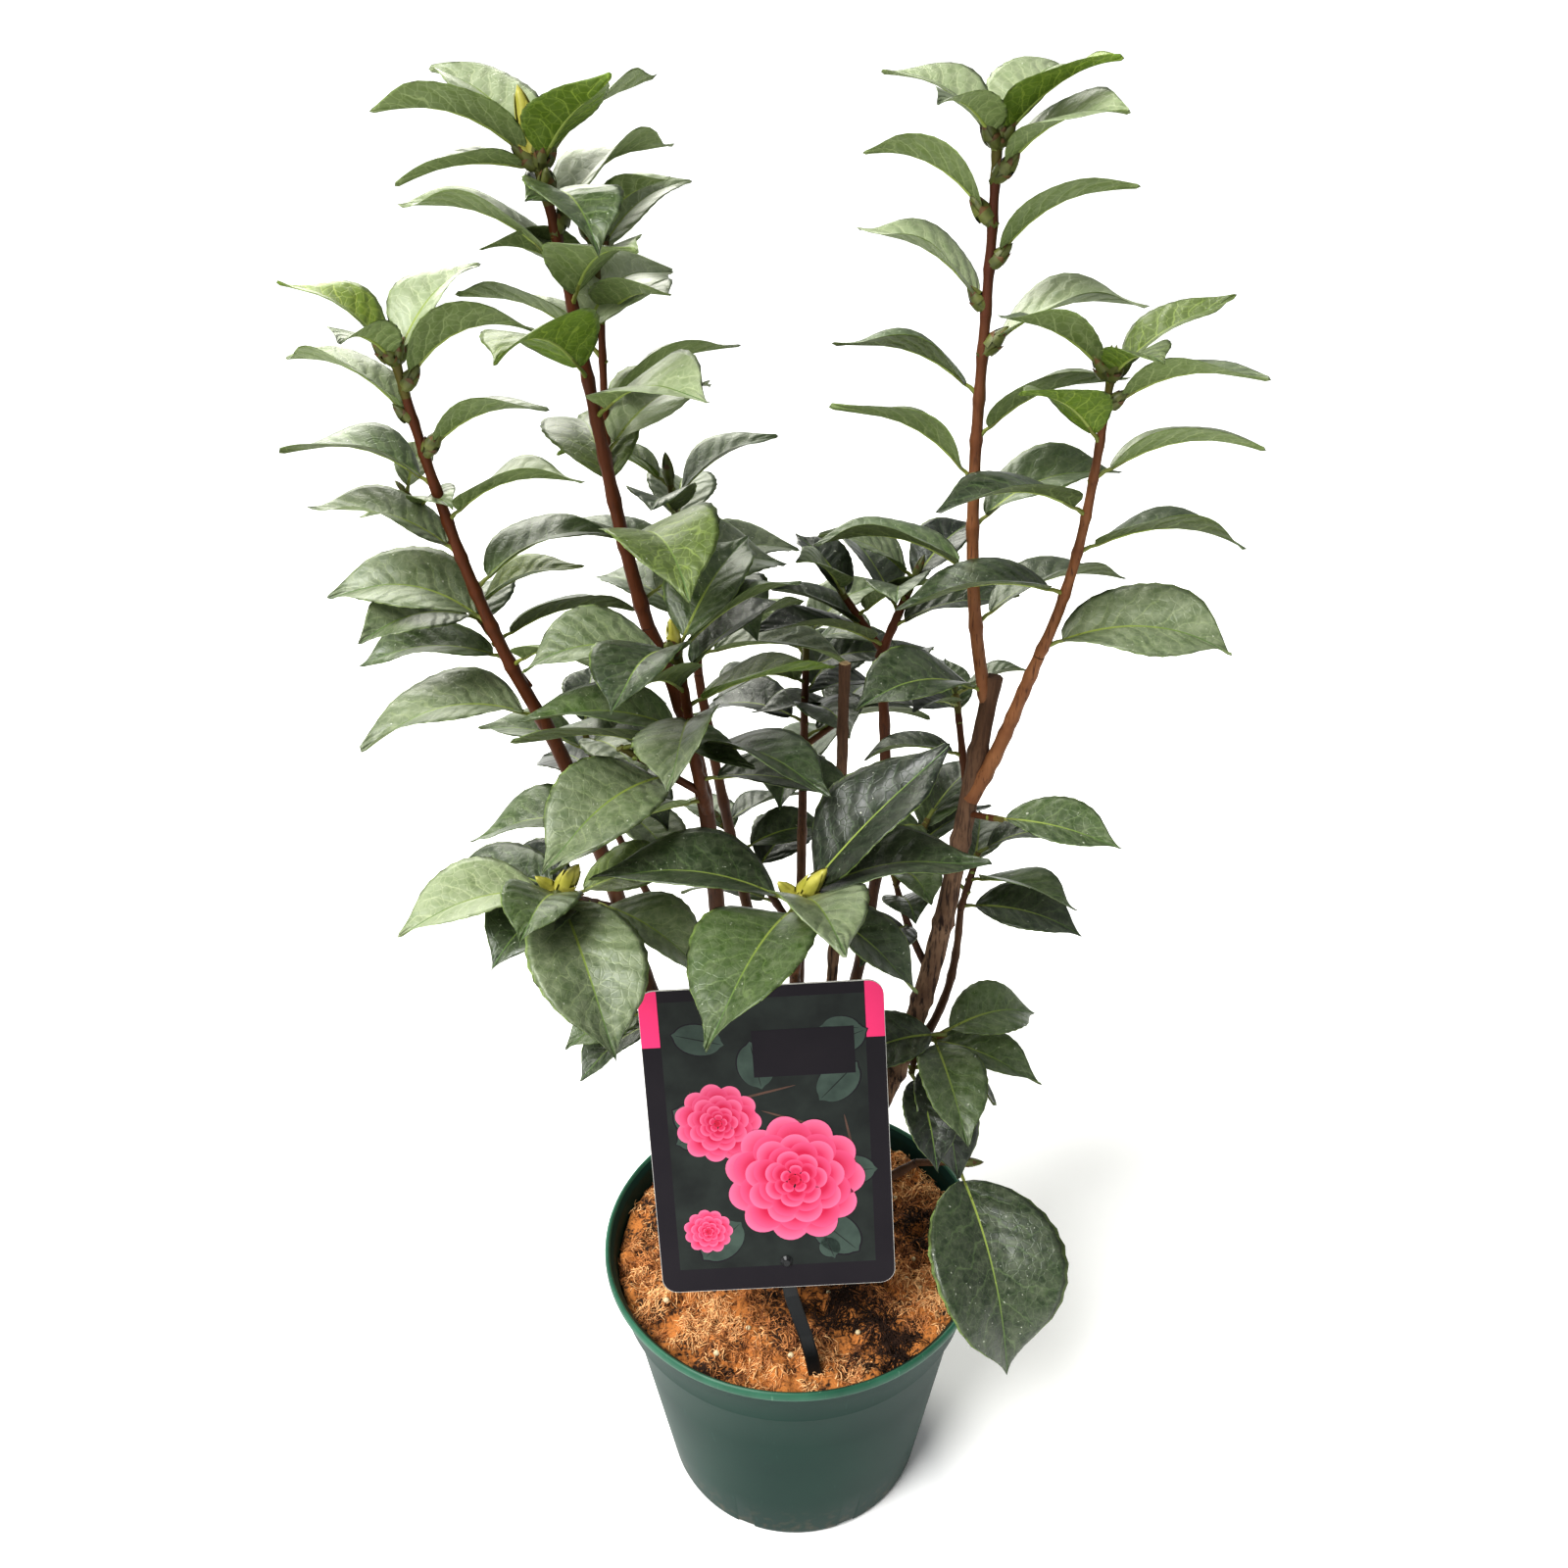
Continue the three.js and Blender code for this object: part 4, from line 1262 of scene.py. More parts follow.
def drawn_up(name: str, sides: int, foot: tuple[float, float], rings: Iterable[tuple[float, float]]) -> Piece:
    """Draws a round body up from a disc, ring by ring, and closes it.

    Args:
        name: its name.
        sides: its facets.
        foot: radius and height of the disc in mm.
        rings: radius and height of each ring in mm.

    Returns:
        The body.
    """
    deselect()
    radius, level = foot
    bpy.ops.mesh.primitive_circle_add(
        vertices=sides, radius=radius * MM, fill_type="NGON", location=(0, 0, level * MM),
    )
    body = chosen(name)
    apply_place(body)
    bpy.ops.object.mode_set(mode="EDIT")
    bpy.ops.mesh.select_mode(type="EDGE")
    bpy.ops.mesh.select_all(action="SELECT")
    for wide, high in rings:
        bpy.ops.mesh.extrude_edges_move(TRANSFORM_OT_translate={"value": (0, 0, (high - level) * MM)})
        scale = wide / radius
        bpy.ops.transform.resize(value=(scale, scale, 1), center_override=(0, 0, high * MM))
        radius, level = wide, high
    bpy.ops.mesh.edge_face_add()
    bpy.ops.object.mode_set(mode="OBJECT")
    tidy_skin(body)
    return body


def tube_faces(rings: int, sides: int, start: int = 0) -> list[Face]:
    """Returns the faces between rings of points.

    Args:
        rings: how many rings.
        sides: points in a ring.
        start: number of the first point.

    Returns:
        The faces.
    """
    faces = []
    for ring in range(rings - 1):
        for k in range(sides):
            a, b = start + ring * sides + k, start + ring * sides + (k + 1) % sides
            faces.append((a, b, b + sides, a + sides))
    return faces


def unit(way: Sequence[float] | np.ndarray) -> np.ndarray:
    """Returns a vector of length one."""
    way = np.array(way, float)
    return way / np.linalg.norm(way)


def hand_over(piece: Piece, nodes: Iterable[str] = ()) -> None:
    """Lets a piece ride on the plant and hides the solids it stands for.

    Args:
        piece: the finished piece.
        nodes: the CAD nodes that it replaces.
    """
    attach(piece, BODY)
    names = list(nodes)
    if names:
        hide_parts(*names)
    LOG.info("%s: %d faces, stands for %d nodes", piece.name, len(piece.data.polygons), len(names))


@dataclass
class Heap:
    """Gathers many small shapes, each with its material and UVs, into one mesh.

    Args:
        name: the mesh's name.
        finishes: its finishes.
        points: its points so far, in mm.
        faces: its faces so far.
        tints: the number of each face's finish.
        uvs: a UV for each corner of each face.
        count: how many points there are.
    """

    name: str
    finishes: Sequence[Finish]
    points: list[np.ndarray] = field(default_factory=list)
    faces: list[Face] = field(default_factory=list)
    tints: list[int] = field(default_factory=list)
    uvs: list[tuple[float, float]] = field(default_factory=list)
    count: int = 0

    def add(
        self,
        points: np.ndarray | Sequence[np.ndarray],
        faces: Sequence[Face],
        tints: Sequence[int],
        uvs: np.ndarray | None = None,
    ) -> None:
        """Adds one shape.

        Args:
            points: its points in mm.
            faces: its faces.
            tints: the number of each face's finish.
            uvs: a UV for each point, if it has any.
        """
        start = self.count
        self.points.append(np.array(points))
        self.faces.extend(tuple(start + k for k in face) for face in faces)
        self.tints.extend(tints)
        if uvs is not None:
            self.uvs.extend(tuple(uvs[k]) for face in faces for k in face)
        self.count += len(points)

    def piece(self) -> Piece:
        """Returns the heap as a smooth mesh object."""
        mesh = bpy.data.meshes.new(self.name)
        mesh.from_pydata((np.concatenate(self.points) * MM).tolist(), [], self.faces)
        piece = bpy.data.objects.new(self.name, mesh)
        dress(piece, *self.finishes)
        mesh.polygons.foreach_set("material_index", self.tints)
        mesh.polygons.foreach_set("use_smooth", [True] * len(mesh.polygons))
        if self.uvs:
            layer = mesh.uv_layers.new(name="leaf")
            layer.data.foreach_set("uv", np.array(self.uvs, float).ravel())
        mesh.update()
        bpy.context.scene.collection.objects.link(piece)
        return piece


# ------------------------------------------------------------------ wood
@dataclass
class Wood:
    """The trunk and stems, with the relief of their bark.

    Args:
        old: the limbs whose bark has split.
        spacing: distance between rings, in mm.
        sides: sides of a limb.
        collar: swelling at the foot of a stem, as a share of its radius.
        collar_reach: how far that swelling runs up, in mm.
        knot: swelling of a knot, as a share of the radius.
        knot_reach: how far it runs up and down, in mm.
        knots: knots on a stem.
        reliefs: depth, and width of a ridge, of the young and the old bark's relief, in mm.
        stretch: how much longer than wide the ridges are.
    """

    old: tuple[str, ...] = ("trunk", "stem_right", "pruned_stem")
    spacing: float = 4.5
    sides: int = 14
    collar: float = 0.3
    collar_reach: float = 7
    knot: float = 0.22
    knot_reach: float = 2.4
    knots: int = 6
    reliefs: tuple[tuple[float, float], ...] = ((0.45, 1.6), (1.1, 1.9))
    stretch: float = 9

    def swelling(self, course: Course, knots: Sequence[float] = ()) -> Callable[[float], float]:
        """Returns the radius rule of a limb, with its collar and knots.

        Args:
            course: the limb's course.
            knots: shares of the course where it swells.

        Returns:
            A function from the share of the course to the radius in mm.
        """
        length = course.length()

        def rule(t: float) -> float:
            """Returns the radius at t."""
            foot = 1 + self.collar * math.exp(-t * length / self.collar_reach) if course.on else 1
            knot = sum(math.exp(-(((t - k) * length / self.knot_reach) ** 2)) for k in knots)
            return float(course.radius(t)) * foot * (1 + self.knot * min(1.0, knot))

        return rule

    def bend(self, name: str, course: Course, knots: Sequence[float], sides: int, spacing: float) -> Piece:
        """Bends a limb to its course.

        Args:
            name: the piece's name.
            course: its course.
            knots: shares of the course where it swells.
            sides: its sides.
            spacing: distance between its rings in mm.

        Returns:
            The limb as a mesh.
        """
        deselect()
        bpy.ops.curve.primitive_bezier_curve_add(location=(0, 0, 0))
        limb = chosen(name)
        foot, tip = limb.data.splines[0].bezier_points
        p0, p1, p2, p3 = (Vector(p) * MM for p in course.handles())
        for point, before, here, after in ((foot, p0 * 2 - p1, p0, p1), (tip, p2, p3, p3 * 2 - p2)):
            point.handle_left_type = point.handle_right_type = "FREE"
            point.handle_left, point.co, point.handle_right = before, here, after
        bpy.ops.object.mode_set(mode="EDIT")
        bpy.ops.curve.select_all(action="SELECT")
        bpy.ops.curve.subdivide(number_cuts=max(4, round(course.length() / spacing)))
        bpy.ops.object.mode_set(mode="OBJECT")
        spline, rule = limb.data.splines[0], self.swelling(course, knots)
        spline.radius_interpolation = "LINEAR"
        last = len(spline.bezier_points) - 1
        for i, point in enumerate(spline.bezier_points):
            point.radius = rule(i / last)
        limb.data.fill_mode = "FULL"
        limb.data.use_fill_caps = True
        limb.data.bevel_depth = MM
        limb.data.bevel_resolution = sides // 2 - 2
        limb.data.resolution_u = 3
        bpy.ops.object.convert(target="MESH")
        limb = chosen(name)
        tidy_skin(limb)
        return limb

    def roughen(self, piece: Piece, depth: float, size: float) -> None:
        """Raises bark relief drawn out along the stems and smooths it.

        Args:
            piece: the limb.
            depth: relief from lowest to highest, in mm.
            size: width of a ridge in mm.
        """
        deselect()
        bpy.ops.object.empty_add(location=(0, 0, 0))
        grid = bpy.context.object
        grid.scale = (size * MM, size * MM, self.stretch * size * MM)
        texture = bpy.data.textures.new(f"{piece.name}_relief", "CLOUDS")
        texture.noise_scale, texture.noise_depth = 1.0, 2
        relief = piece.modifiers.new("bark_relief", "DISPLACE")
        relief.texture, relief.texture_coords, relief.texture_coords_object = texture, "OBJECT", grid
        relief.strength, relief.mid_level = depth * MM, 0.5
        bpy.context.view_layer.update()
        apply_modifiers(piece)
        bpy.data.objects.remove(grid)
        smooth(piece, 60)

    def build(self) -> None:
        """Builds and dresses every limb."""
        for name, course in LIMBS.items():
            split = name in self.old
            knots = [] if name == "trunk" else [k / (self.knots + 1) + 0.03 for k in range(1, self.knots + 1)]
            piece = self.bend(f"{name}_bark", course, knots, self.sides, self.spacing)
            self.roughen(piece, *self.reliefs[split])
            dress(piece, OLD_BARK if split else ORANGE_BARK if "outer" in name else BROWN_BARK, CUT_WOOD)
            if name == "pruned_stem":
                self.show_cut(piece, course)
            hand_over(piece, [name])

    def show_cut(self, piece: Piece, course: Course) -> None:
        """Gives a pruned stem's cut its pale wood.

        Args:
            piece: the limb.
            course: its course.
        """
        end, heading = Vector(course.end) * MM, Vector(course.heading(1.0))
        for face in piece.data.polygons:
            if (face.center - end).length < 3 * MM and face.normal.dot(heading) > 0.8:
                face.material_index = 1


# ------------------------------------------------------------------ leaves
@dataclass(frozen=True)
class BladeShape:
    """The finer shape of a blade, in shares of its size where no unit is given.

    Args:
        stations: rows of points along it.
        rows: where its first, second and last rows lie.
        columns: shares of the half blade at which its points lie.
        rib: half the width of the pale midrib at its foot, in mm.
        rib_taper: how much narrower the midrib is at the tip.
        groove: how deep the midrib lies, in mm.
        rim: thickness of the blade at its middle, in mm.
        crown: how much steeper the halves are beside the midrib.
        wave: height of the wavy margin.
        wave_turns: radians of the wave along the blade, and between its halves.
        lop: scatter of how unlike the halves are.
        twist: scatter of the twist along it, in degrees.
        flick: how far the tip turns up at the least and at the most.
        tip_from: where the drawn out tip starts.
        drawn_out: how much narrower the tip gets.
        teeth: how far the margin's points stand back and out in turn.
    """

    stations: int = 26
    rows: Triple = (0.012, 0.04, 0.975)
    columns: tuple[float, ...] = (0.3, 0.62, 0.86, 1.0)
    rib: float = 0.62
    rib_taper: float = 0.75
    groove: float = 0.25
    rim: float = 0.5
    crown: float = 0.45
    wave: float = 0.036
    wave_turns: tuple[float, float] = (8.5, 1.3)
    lop: float = 0.06
    twist: float = 34
    flick: tuple[float, float] = (-0.015, 0.07)
    tip_from: float = 0.7
    drawn_out: float = 0.5
    teeth: tuple[float, float] = (-0.012, 0.016)


@dataclass
class Foliage:
    """Leaves, their stalks, the twigs that bear them and the buds.

    Args:
        growth: the grown leaves.
        wood: makes the twigs.
        shape: the finer shape of the blades.
        stalk_steps: steps of the midrib at which a stalk has a ring.
        stalk_sides: sides of a stalk.
        scales: scales on a bud.
    """

    growth: Growth
    wood: Wood
    shape: BladeShape = BladeShape()
    stalk_steps: tuple[int, ...] = (0, 1, 2, 3, 5, 8, 11, 14, 17)
    stalk_sides: int = 6
    scales: int = 6

    TONES = tuple(Tone)
    CHOSEN = {
        ("foliage_centre", 0): Tone.GREY, ("foliage_front", 0): Tone.GROWN,
        ("foliage_centre_left_leader", 10): Tone.GROWN, ("foliage_right_leader", 4): Tone.LIGHT,
        ("foliage_right_outer", 0): Tone.GREY, ("foliage_right_outer", 4): Tone.LIGHT,
        ("foliage_left_low", 0): Tone.GREY, ("foliage_low_right", 0): Tone.OLD,
    }
    # Tones by score: darkest in the lower middle of the crown as painted shade, palest high up as painted
    # sheen.
    LIGHT_AND_SHADE_BANDS = (
        (0.4, Tone.GROWN), (0.9, Tone.OLD), (1.5, Tone.DEEP), (2.2, Tone.OLD), (2.8, Tone.GROWN),
        (3.3, Tone.GREY), (3.6, Tone.FRESH), (4.1, Tone.GREY), (4.5, Tone.LIGHT), (4.8, Tone.GROWN),
    )
    OPENING = ("foliage_centre_left_leader", "foliage_front", "foliage_centre", "foliage_left_low")
    CLUSTERED = ("foliage_front", "foliage_left_low")
    CLUSTER = (
        (21, (0.5, -0.25, 0.85)), (15, (-0.5, -0.3, 0.75)), (14, (0.35, -0.8, 0.1)), (12, (0.9, -0.3, 0.2)),
    )

    def tone(self, leaf: Leaf, draw: Draw) -> Tone:
        """Picks a leaf's tone from its height, its place and a seeded draw.

        Args:
            leaf: the leaf.
            draw: gives the next random number.

        Returns:
            Its tone.
        """
        x, _, z = leaf.base
        # Higher up and further left, where the light falls, the score rises towards the paler tones with
        # painted sheen; lower down it falls towards the darker tones, painted shade.
        light_score = (z - 190) / 100 - x / 200 + 2.9 * (draw() - 0.5) + max(0.0, z - 480) / 110
        named = leaf.tone or self.CHOSEN.get((leaf.mass, leaf.number))
        if named:
            return named
        if leaf.mass == "foliage_left_leader" and leaf.rank > 0.99 and leaf.long > 40:
            return Tone.NEW
        return next((tone for limit, tone in self.LIGHT_AND_SHADE_BANDS if light_score < limit), Tone.LIGHT)

    def rows(
        self, leaf: Leaf, draw: Draw,
    ) -> tuple[list[np.ndarray], list[np.ndarray], list[tuple[float, float]]]:
        """Shapes the rows of points across a blade.

        Args:
            leaf: the leaf.
            draw: gives the next random number.

        Returns:
            Points of the upper face, with the tip last, points of the underside and UVs.
        """
        shape, fold = self.shape, math.radians(RULE.fold)
        spine, _, sides, ups = leaf.midrib()
        steps = np.linspace(0, 1, RULE.steps + 1)
        phase, swing, lop = 6.28 * draw(), 0.5 + draw(), shape.lop * (draw() - 0.5)
        twist = math.radians(shape.twist * (draw() - 0.5))
        flick = shape.flick[0] + (shape.flick[1] - shape.flick[0]) * draw()
        first, second, last = shape.rows
        shares = [first, *np.linspace(second, last, shape.stations - 1)]
        columns = [-c for c in reversed(shape.columns)] + [-0.001, 0.001] + list(shape.columns)
        top, under, uvs = [], [], []
        for i, u in enumerate(shares):
            f = RULE.stalk + (1 - RULE.stalk) * u
            at, side, up = (
                np.array([np.interp(f, steps, way[:, k]) for k in range(3)]) for way in (spine, sides, ups)
            )
            side = side * math.cos(twist * u) + up * math.sin(twist * u)
            up = unit(up - side * float(np.dot(up, side)))
            late = max(0.0, (u - shape.tip_from) / (1 - shape.tip_from))
            at = at + up * flick * leaf.long * late * late
            narrowed = 1 - shape.drawn_out * late * late * (3 - 2 * late)
            half = 0.5 * leaf.wide * float(blade_width(u)) * narrowed
            rib = min(shape.rib * (1 - shape.rib_taper * u), 0.3 * half)
            for c in columns:
                mid, edge = abs(c) < 0.01, abs(c) == 1
                reach = half * abs(c) * (1 + shape.teeth[i % 2] * edge) * (1 + lop * np.sign(c))
                reach = rib if mid else max(rib * 1.05, reach)
                rise = reach * math.sin(fold) * (1 + shape.crown * (1 - reach / max(half, 1e-6)))
                turn = phase + shape.wave_turns[0] * u + shape.wave_turns[1] * (c > 0)
                rise += shape.wave * leaf.wide * swing * c * c * math.sin(turn) - shape.groove * mid
                point = at + side * np.sign(c) * reach * math.cos(fold) + up * rise
                top.append(point)
                under.append(point - up * shape.rim * (1 - abs(c) ** 3))
                uvs.append((u, 0.5 + 0.5 * c))
        top.append(spine[-1] + ups[-1] * flick * leaf.long)
        return top, under, uvs

    def blade(self, leaf: Leaf, draw: Draw) -> tuple[np.ndarray, list[Face], list[int], np.ndarray]:
        """Shapes one blade: folded at the midrib, rounded to its margins, toothed and pointed.

        Args:
            leaf: the leaf.
            draw: gives the next random number.

        Returns:
            Points, faces, part of each face (0 upper, 1 underside, 2 midrib) and UVs.
        """
        (*top, tip), under, uvs = self.rows(leaf, draw)
        spine = leaf.midrib()[0]
        steps = np.linspace(0, 1, RULE.steps + 1)
        foot = np.array([np.interp(RULE.stalk, steps, spine[:, k]) for k in range(3)])
        n, count = len(top), 2 * len(self.shape.columns) + 2
        end_foot, end_tip, middle = 2 * n, 2 * n + 1, count // 2 - 1
        faces: list[Face] = []
        parts: list[int] = []

        def low(index: int) -> int:
            """Returns the underside's point, which is the upper one at the margins."""
            return index if index % count in (0, count - 1) else n + index

        for i in range(self.shape.stations - 1):
            for k in range(count - 1):
                a, d = i * count + k, (i + 1) * count + k
                faces += [(a, d, d + 1, a + 1), (low(a), low(a + 1), low(d + 1), low(d))]
                parts += [2 if k == middle else 0, 1]
        last = n - count
        for k in range(count - 1):
            faces += [(k, k + 1, end_foot), (low(k + 1), low(k), end_foot)]
            faces += [(last + k + 1, last + k, end_tip), (low(last + k), low(last + k + 1), end_tip)]
            parts += [2 if k == middle else 0, 1] * 2
        return np.array([*top, *under, foot, tip]), faces, parts, np.array([*uvs, *uvs, (0, 0.5), (1, 0.5)])

    def stalk(self, leaf: Leaf) -> tuple[list[np.ndarray], list[Face]]:
        """Shapes a leaf's stalk, which runs on as the ridge under its blade.

        Args:
            leaf: the leaf.

        Returns:
            Points and faces.
        """
        spine, alongs, sides, ups = leaf.midrib()
        count, rings = self.stalk_sides, len(self.stalk_steps)
        points: list[np.ndarray] = []
        for i in self.stalk_steps:
            f = i / RULE.steps
            radius = 1.15 - 0.35 * min(1.0, f / 0.1) - 0.75 * f
            sink = 0 if i < 3 else radius * 0.55 + 0.2
            start = spine[i] - alongs[i] * (2.0 if i == 0 else 0) - ups[i] * sink
            for k in range(count):
                a = 2 * math.pi * k / count
                points.append(start + sides[i] * radius * math.cos(a) + ups[i] * radius * math.sin(a))
        ends = [tuple(reversed(range(count))), tuple(range((rings - 1) * count, rings * count))]
        return points, tube_faces(rings, count) + ends

    def bud(
        self, base: np.ndarray, heading: np.ndarray, long: float, wide: float, turn: float,
    ) -> tuple[list[np.ndarray], list[Face], list[int]]:
        """Shapes a bud: a pointed core in overlapping scales.

        Args:
            base: its foot.
            heading: its direction.
            long: its length in mm.
            wide: its width in mm.
            turn: where its first scale stands, in radians.

        Returns:
            Points, faces, and 0 or 1 for a face of the scale or of its dry tip.
        """
        ref = np.array([0, 0, 1.0]) if abs(heading[2]) < 0.8 else np.array([1.0, 0, 0])
        side = unit(np.cross(heading, ref))
        other = np.cross(side, heading)

        def skin(f: float, spread: float, angle: float) -> np.ndarray:
            """Returns a point on the bud's skin."""
            body = math.sin(math.pi * min(1, 0.12 + 0.88 * f) ** 0.8) ** 0.75
            out = side * math.cos(angle) + other * math.sin(angle)
            return base + heading * long * f + out * 0.5 * wide * body * spread

        levels, count = (-0.12, 0.1, 0.35, 0.62, 0.86), 8
        points = [
            skin(max(f, 0), 0.86, 2 * math.pi * k / count) + heading * min(f, 0) * long
            for f in levels for k in range(count)
        ]
        points.append(base + heading * long * 0.98)
        top = (len(levels) - 1) * count
        faces = tube_faces(len(levels), count)
        faces += [(top + k, top + (k + 1) % count, len(points) - 1) for k in range(count)]
        faces.append(tuple(reversed(range(count))))
        parts = [0] * len(faces)
        spans, widths = (-1, -0.5, 0, 0.5, 1), (1, 0.95, 0.72, 0.1)
        last = len(widths) - 1
        for number in range(self.scales):
            low, high = 0.02 + 0.1 * number, 0.42 + 0.115 * number
            middle, half = turn + 2.51 * number, 1.25 - 0.12 * number
            start = len(points)
            for i, width in enumerate(widths):
                for k in spans:
                    lift = 1.0 + 0.05 * (number % 3) + 0.1 * (i == last) - 0.06 * abs(k)
                    along = min(low + (high - low) * i / last, 1)
                    points.append(skin(along, lift, middle + k * half * width))
            for i in range(last):
                for k in range(len(spans) - 1):
                    a = start + i * len(spans) + k
                    faces.append((a, a + 1, a + 1 + len(spans), a + len(spans)))
                    parts.append(int(i == last - 1))
        return points, faces, parts

    def leaves(self) -> None:
        """Builds the blades and their stalks."""
        tops = [tone.value for tone in self.TONES]
        unders = [UNDERSIDE, PALE_UNDERSIDE, NEW_UNDERSIDE]
        blades = Heap("leaf_blades", [*tops, *unders, MIDRIB])
        stalks = Heap("leaf_stalks", [STALK, MIDRIB])
        ridge_from = 4 * self.stalk_sides
        draw = seeded(401)
        for leaf in (leaf for grown in self.growth.leaves.values() for leaf in grown):
            tone = self.tone(leaf, draw)
            points, faces, parts, uvs = self.blade(leaf, draw)
            pale = 2 if tone in (Tone.NEW, Tone.FRESH) else tone in (Tone.GREY, Tone.LIGHT)
            tints = (self.TONES.index(tone), len(tops) + pale, len(tops) + len(unders))
            blades.add(points, faces, [tints[part] for part in parts], uvs)
            points, faces = self.stalk(leaf)
            stalks.add(points, faces, [int(k >= ridge_from) for k in range(len(faces))])
        hand_over(blades.piece(), MASSES)
        hand_over(stalks.piece())

    def twigs(self) -> None:
        """Builds the twigs, swollen where a leaf springs from them."""
        made = []
        for (name, index), grown in self.growth.leaves.items():
            course = MASSES[name].shoots[index].course
            knots = [leaf.t for leaf in grown]
            twig = self.wood.bend(f"{name}_{index}_twig", course, knots, sides=10, spacing=3)
            dress(twig, BROWN_BARK, GREEN_BARK, ORANGE_BARK)
            tip, soft = Vector(course.end) * MM, min(14.0, 0.2 * course.length()) * MM
            ripe = 2 if "right_leader" in name or "right_outer" in name else 0
            for face in twig.data.polygons:
                face.material_index = 1 if (face.center - tip).length < soft else ripe
            made.append(twig)
        piece = join(made, "twigs")
        self.wood.roughen(piece, 0.25, 1.2)
        hand_over(piece, MASSES)

    def cluster(self, name: str, index: int, draw: Draw) -> list[tuple[float, np.ndarray]]:
        """Sets the buds that crowd round a tip.

        Args:
            name: the mass.
            index: its shoot.
            draw: gives the next random number.

        Returns:
            Length and heading of each bud.
        """
        shoot = MASSES[name].shoots[index]
        if name in self.CLUSTERED:
            return [(long, unit(way)) for long, way in self.CLUSTER]
        if shoot.buds < 4 or index:
            return []
        headings = [2.1 * k + 0.7 + draw() for k in range(3)]
        return [
            (11, unit(shoot.course.heading(1.0) * 1.5 + (math.cos(az), math.sin(az), 0))) for az in headings
        ]

    def buds(self) -> None:
        """Builds the buds at the tips and in the axils."""
        heap = Heap("buds", [BUD_SCALE, BUD_TIP, NEW_BUD])
        draw = seeded(577)

        def add(
            at: float, heading: np.ndarray, size: tuple[float, float], turn: float, opening: bool,
        ) -> None:
            """Adds a bud at a share of the course, with its length and width in mm."""
            points, faces, parts = self.bud(course.at(at), heading, *size, turn)
            heap.add(points, faces, [2 if opening else part for part in parts])

        for (name, index), grown in self.growth.leaves.items():
            shoot = MASSES[name].shoots[index]
            course = shoot.course
            opening = bool(shoot.bud) and name in self.OPENING and index == 0
            if shoot.bud:
                add(1.0, course.heading(1.0), (shoot.bud, 0.34 * shoot.bud), 6.28 * draw(), opening)
            for k, (size, heading) in enumerate(self.cluster(name, index, draw)):
                add(0.99, heading, (size, 0.4 * size), 2.1 * k, opening and k < 2)
            for leaf in grown[max(0, len(grown) - shoot.buds):]:
                az = math.radians(leaf.az)
                heading = unit(course.heading(leaf.t) * 1.1 + (math.cos(az), math.sin(az), 0))
                size = 0.85 + 0.3 * draw()
                add(leaf.t, heading, (11.5 * size, 6 * size), 6.28 * draw(), False)
        hand_over(heap.piece(), MASSES)

    def build(self) -> None:
        """Builds everything that is leafy."""
        self.leaves()
        self.twigs()
        self.buds()


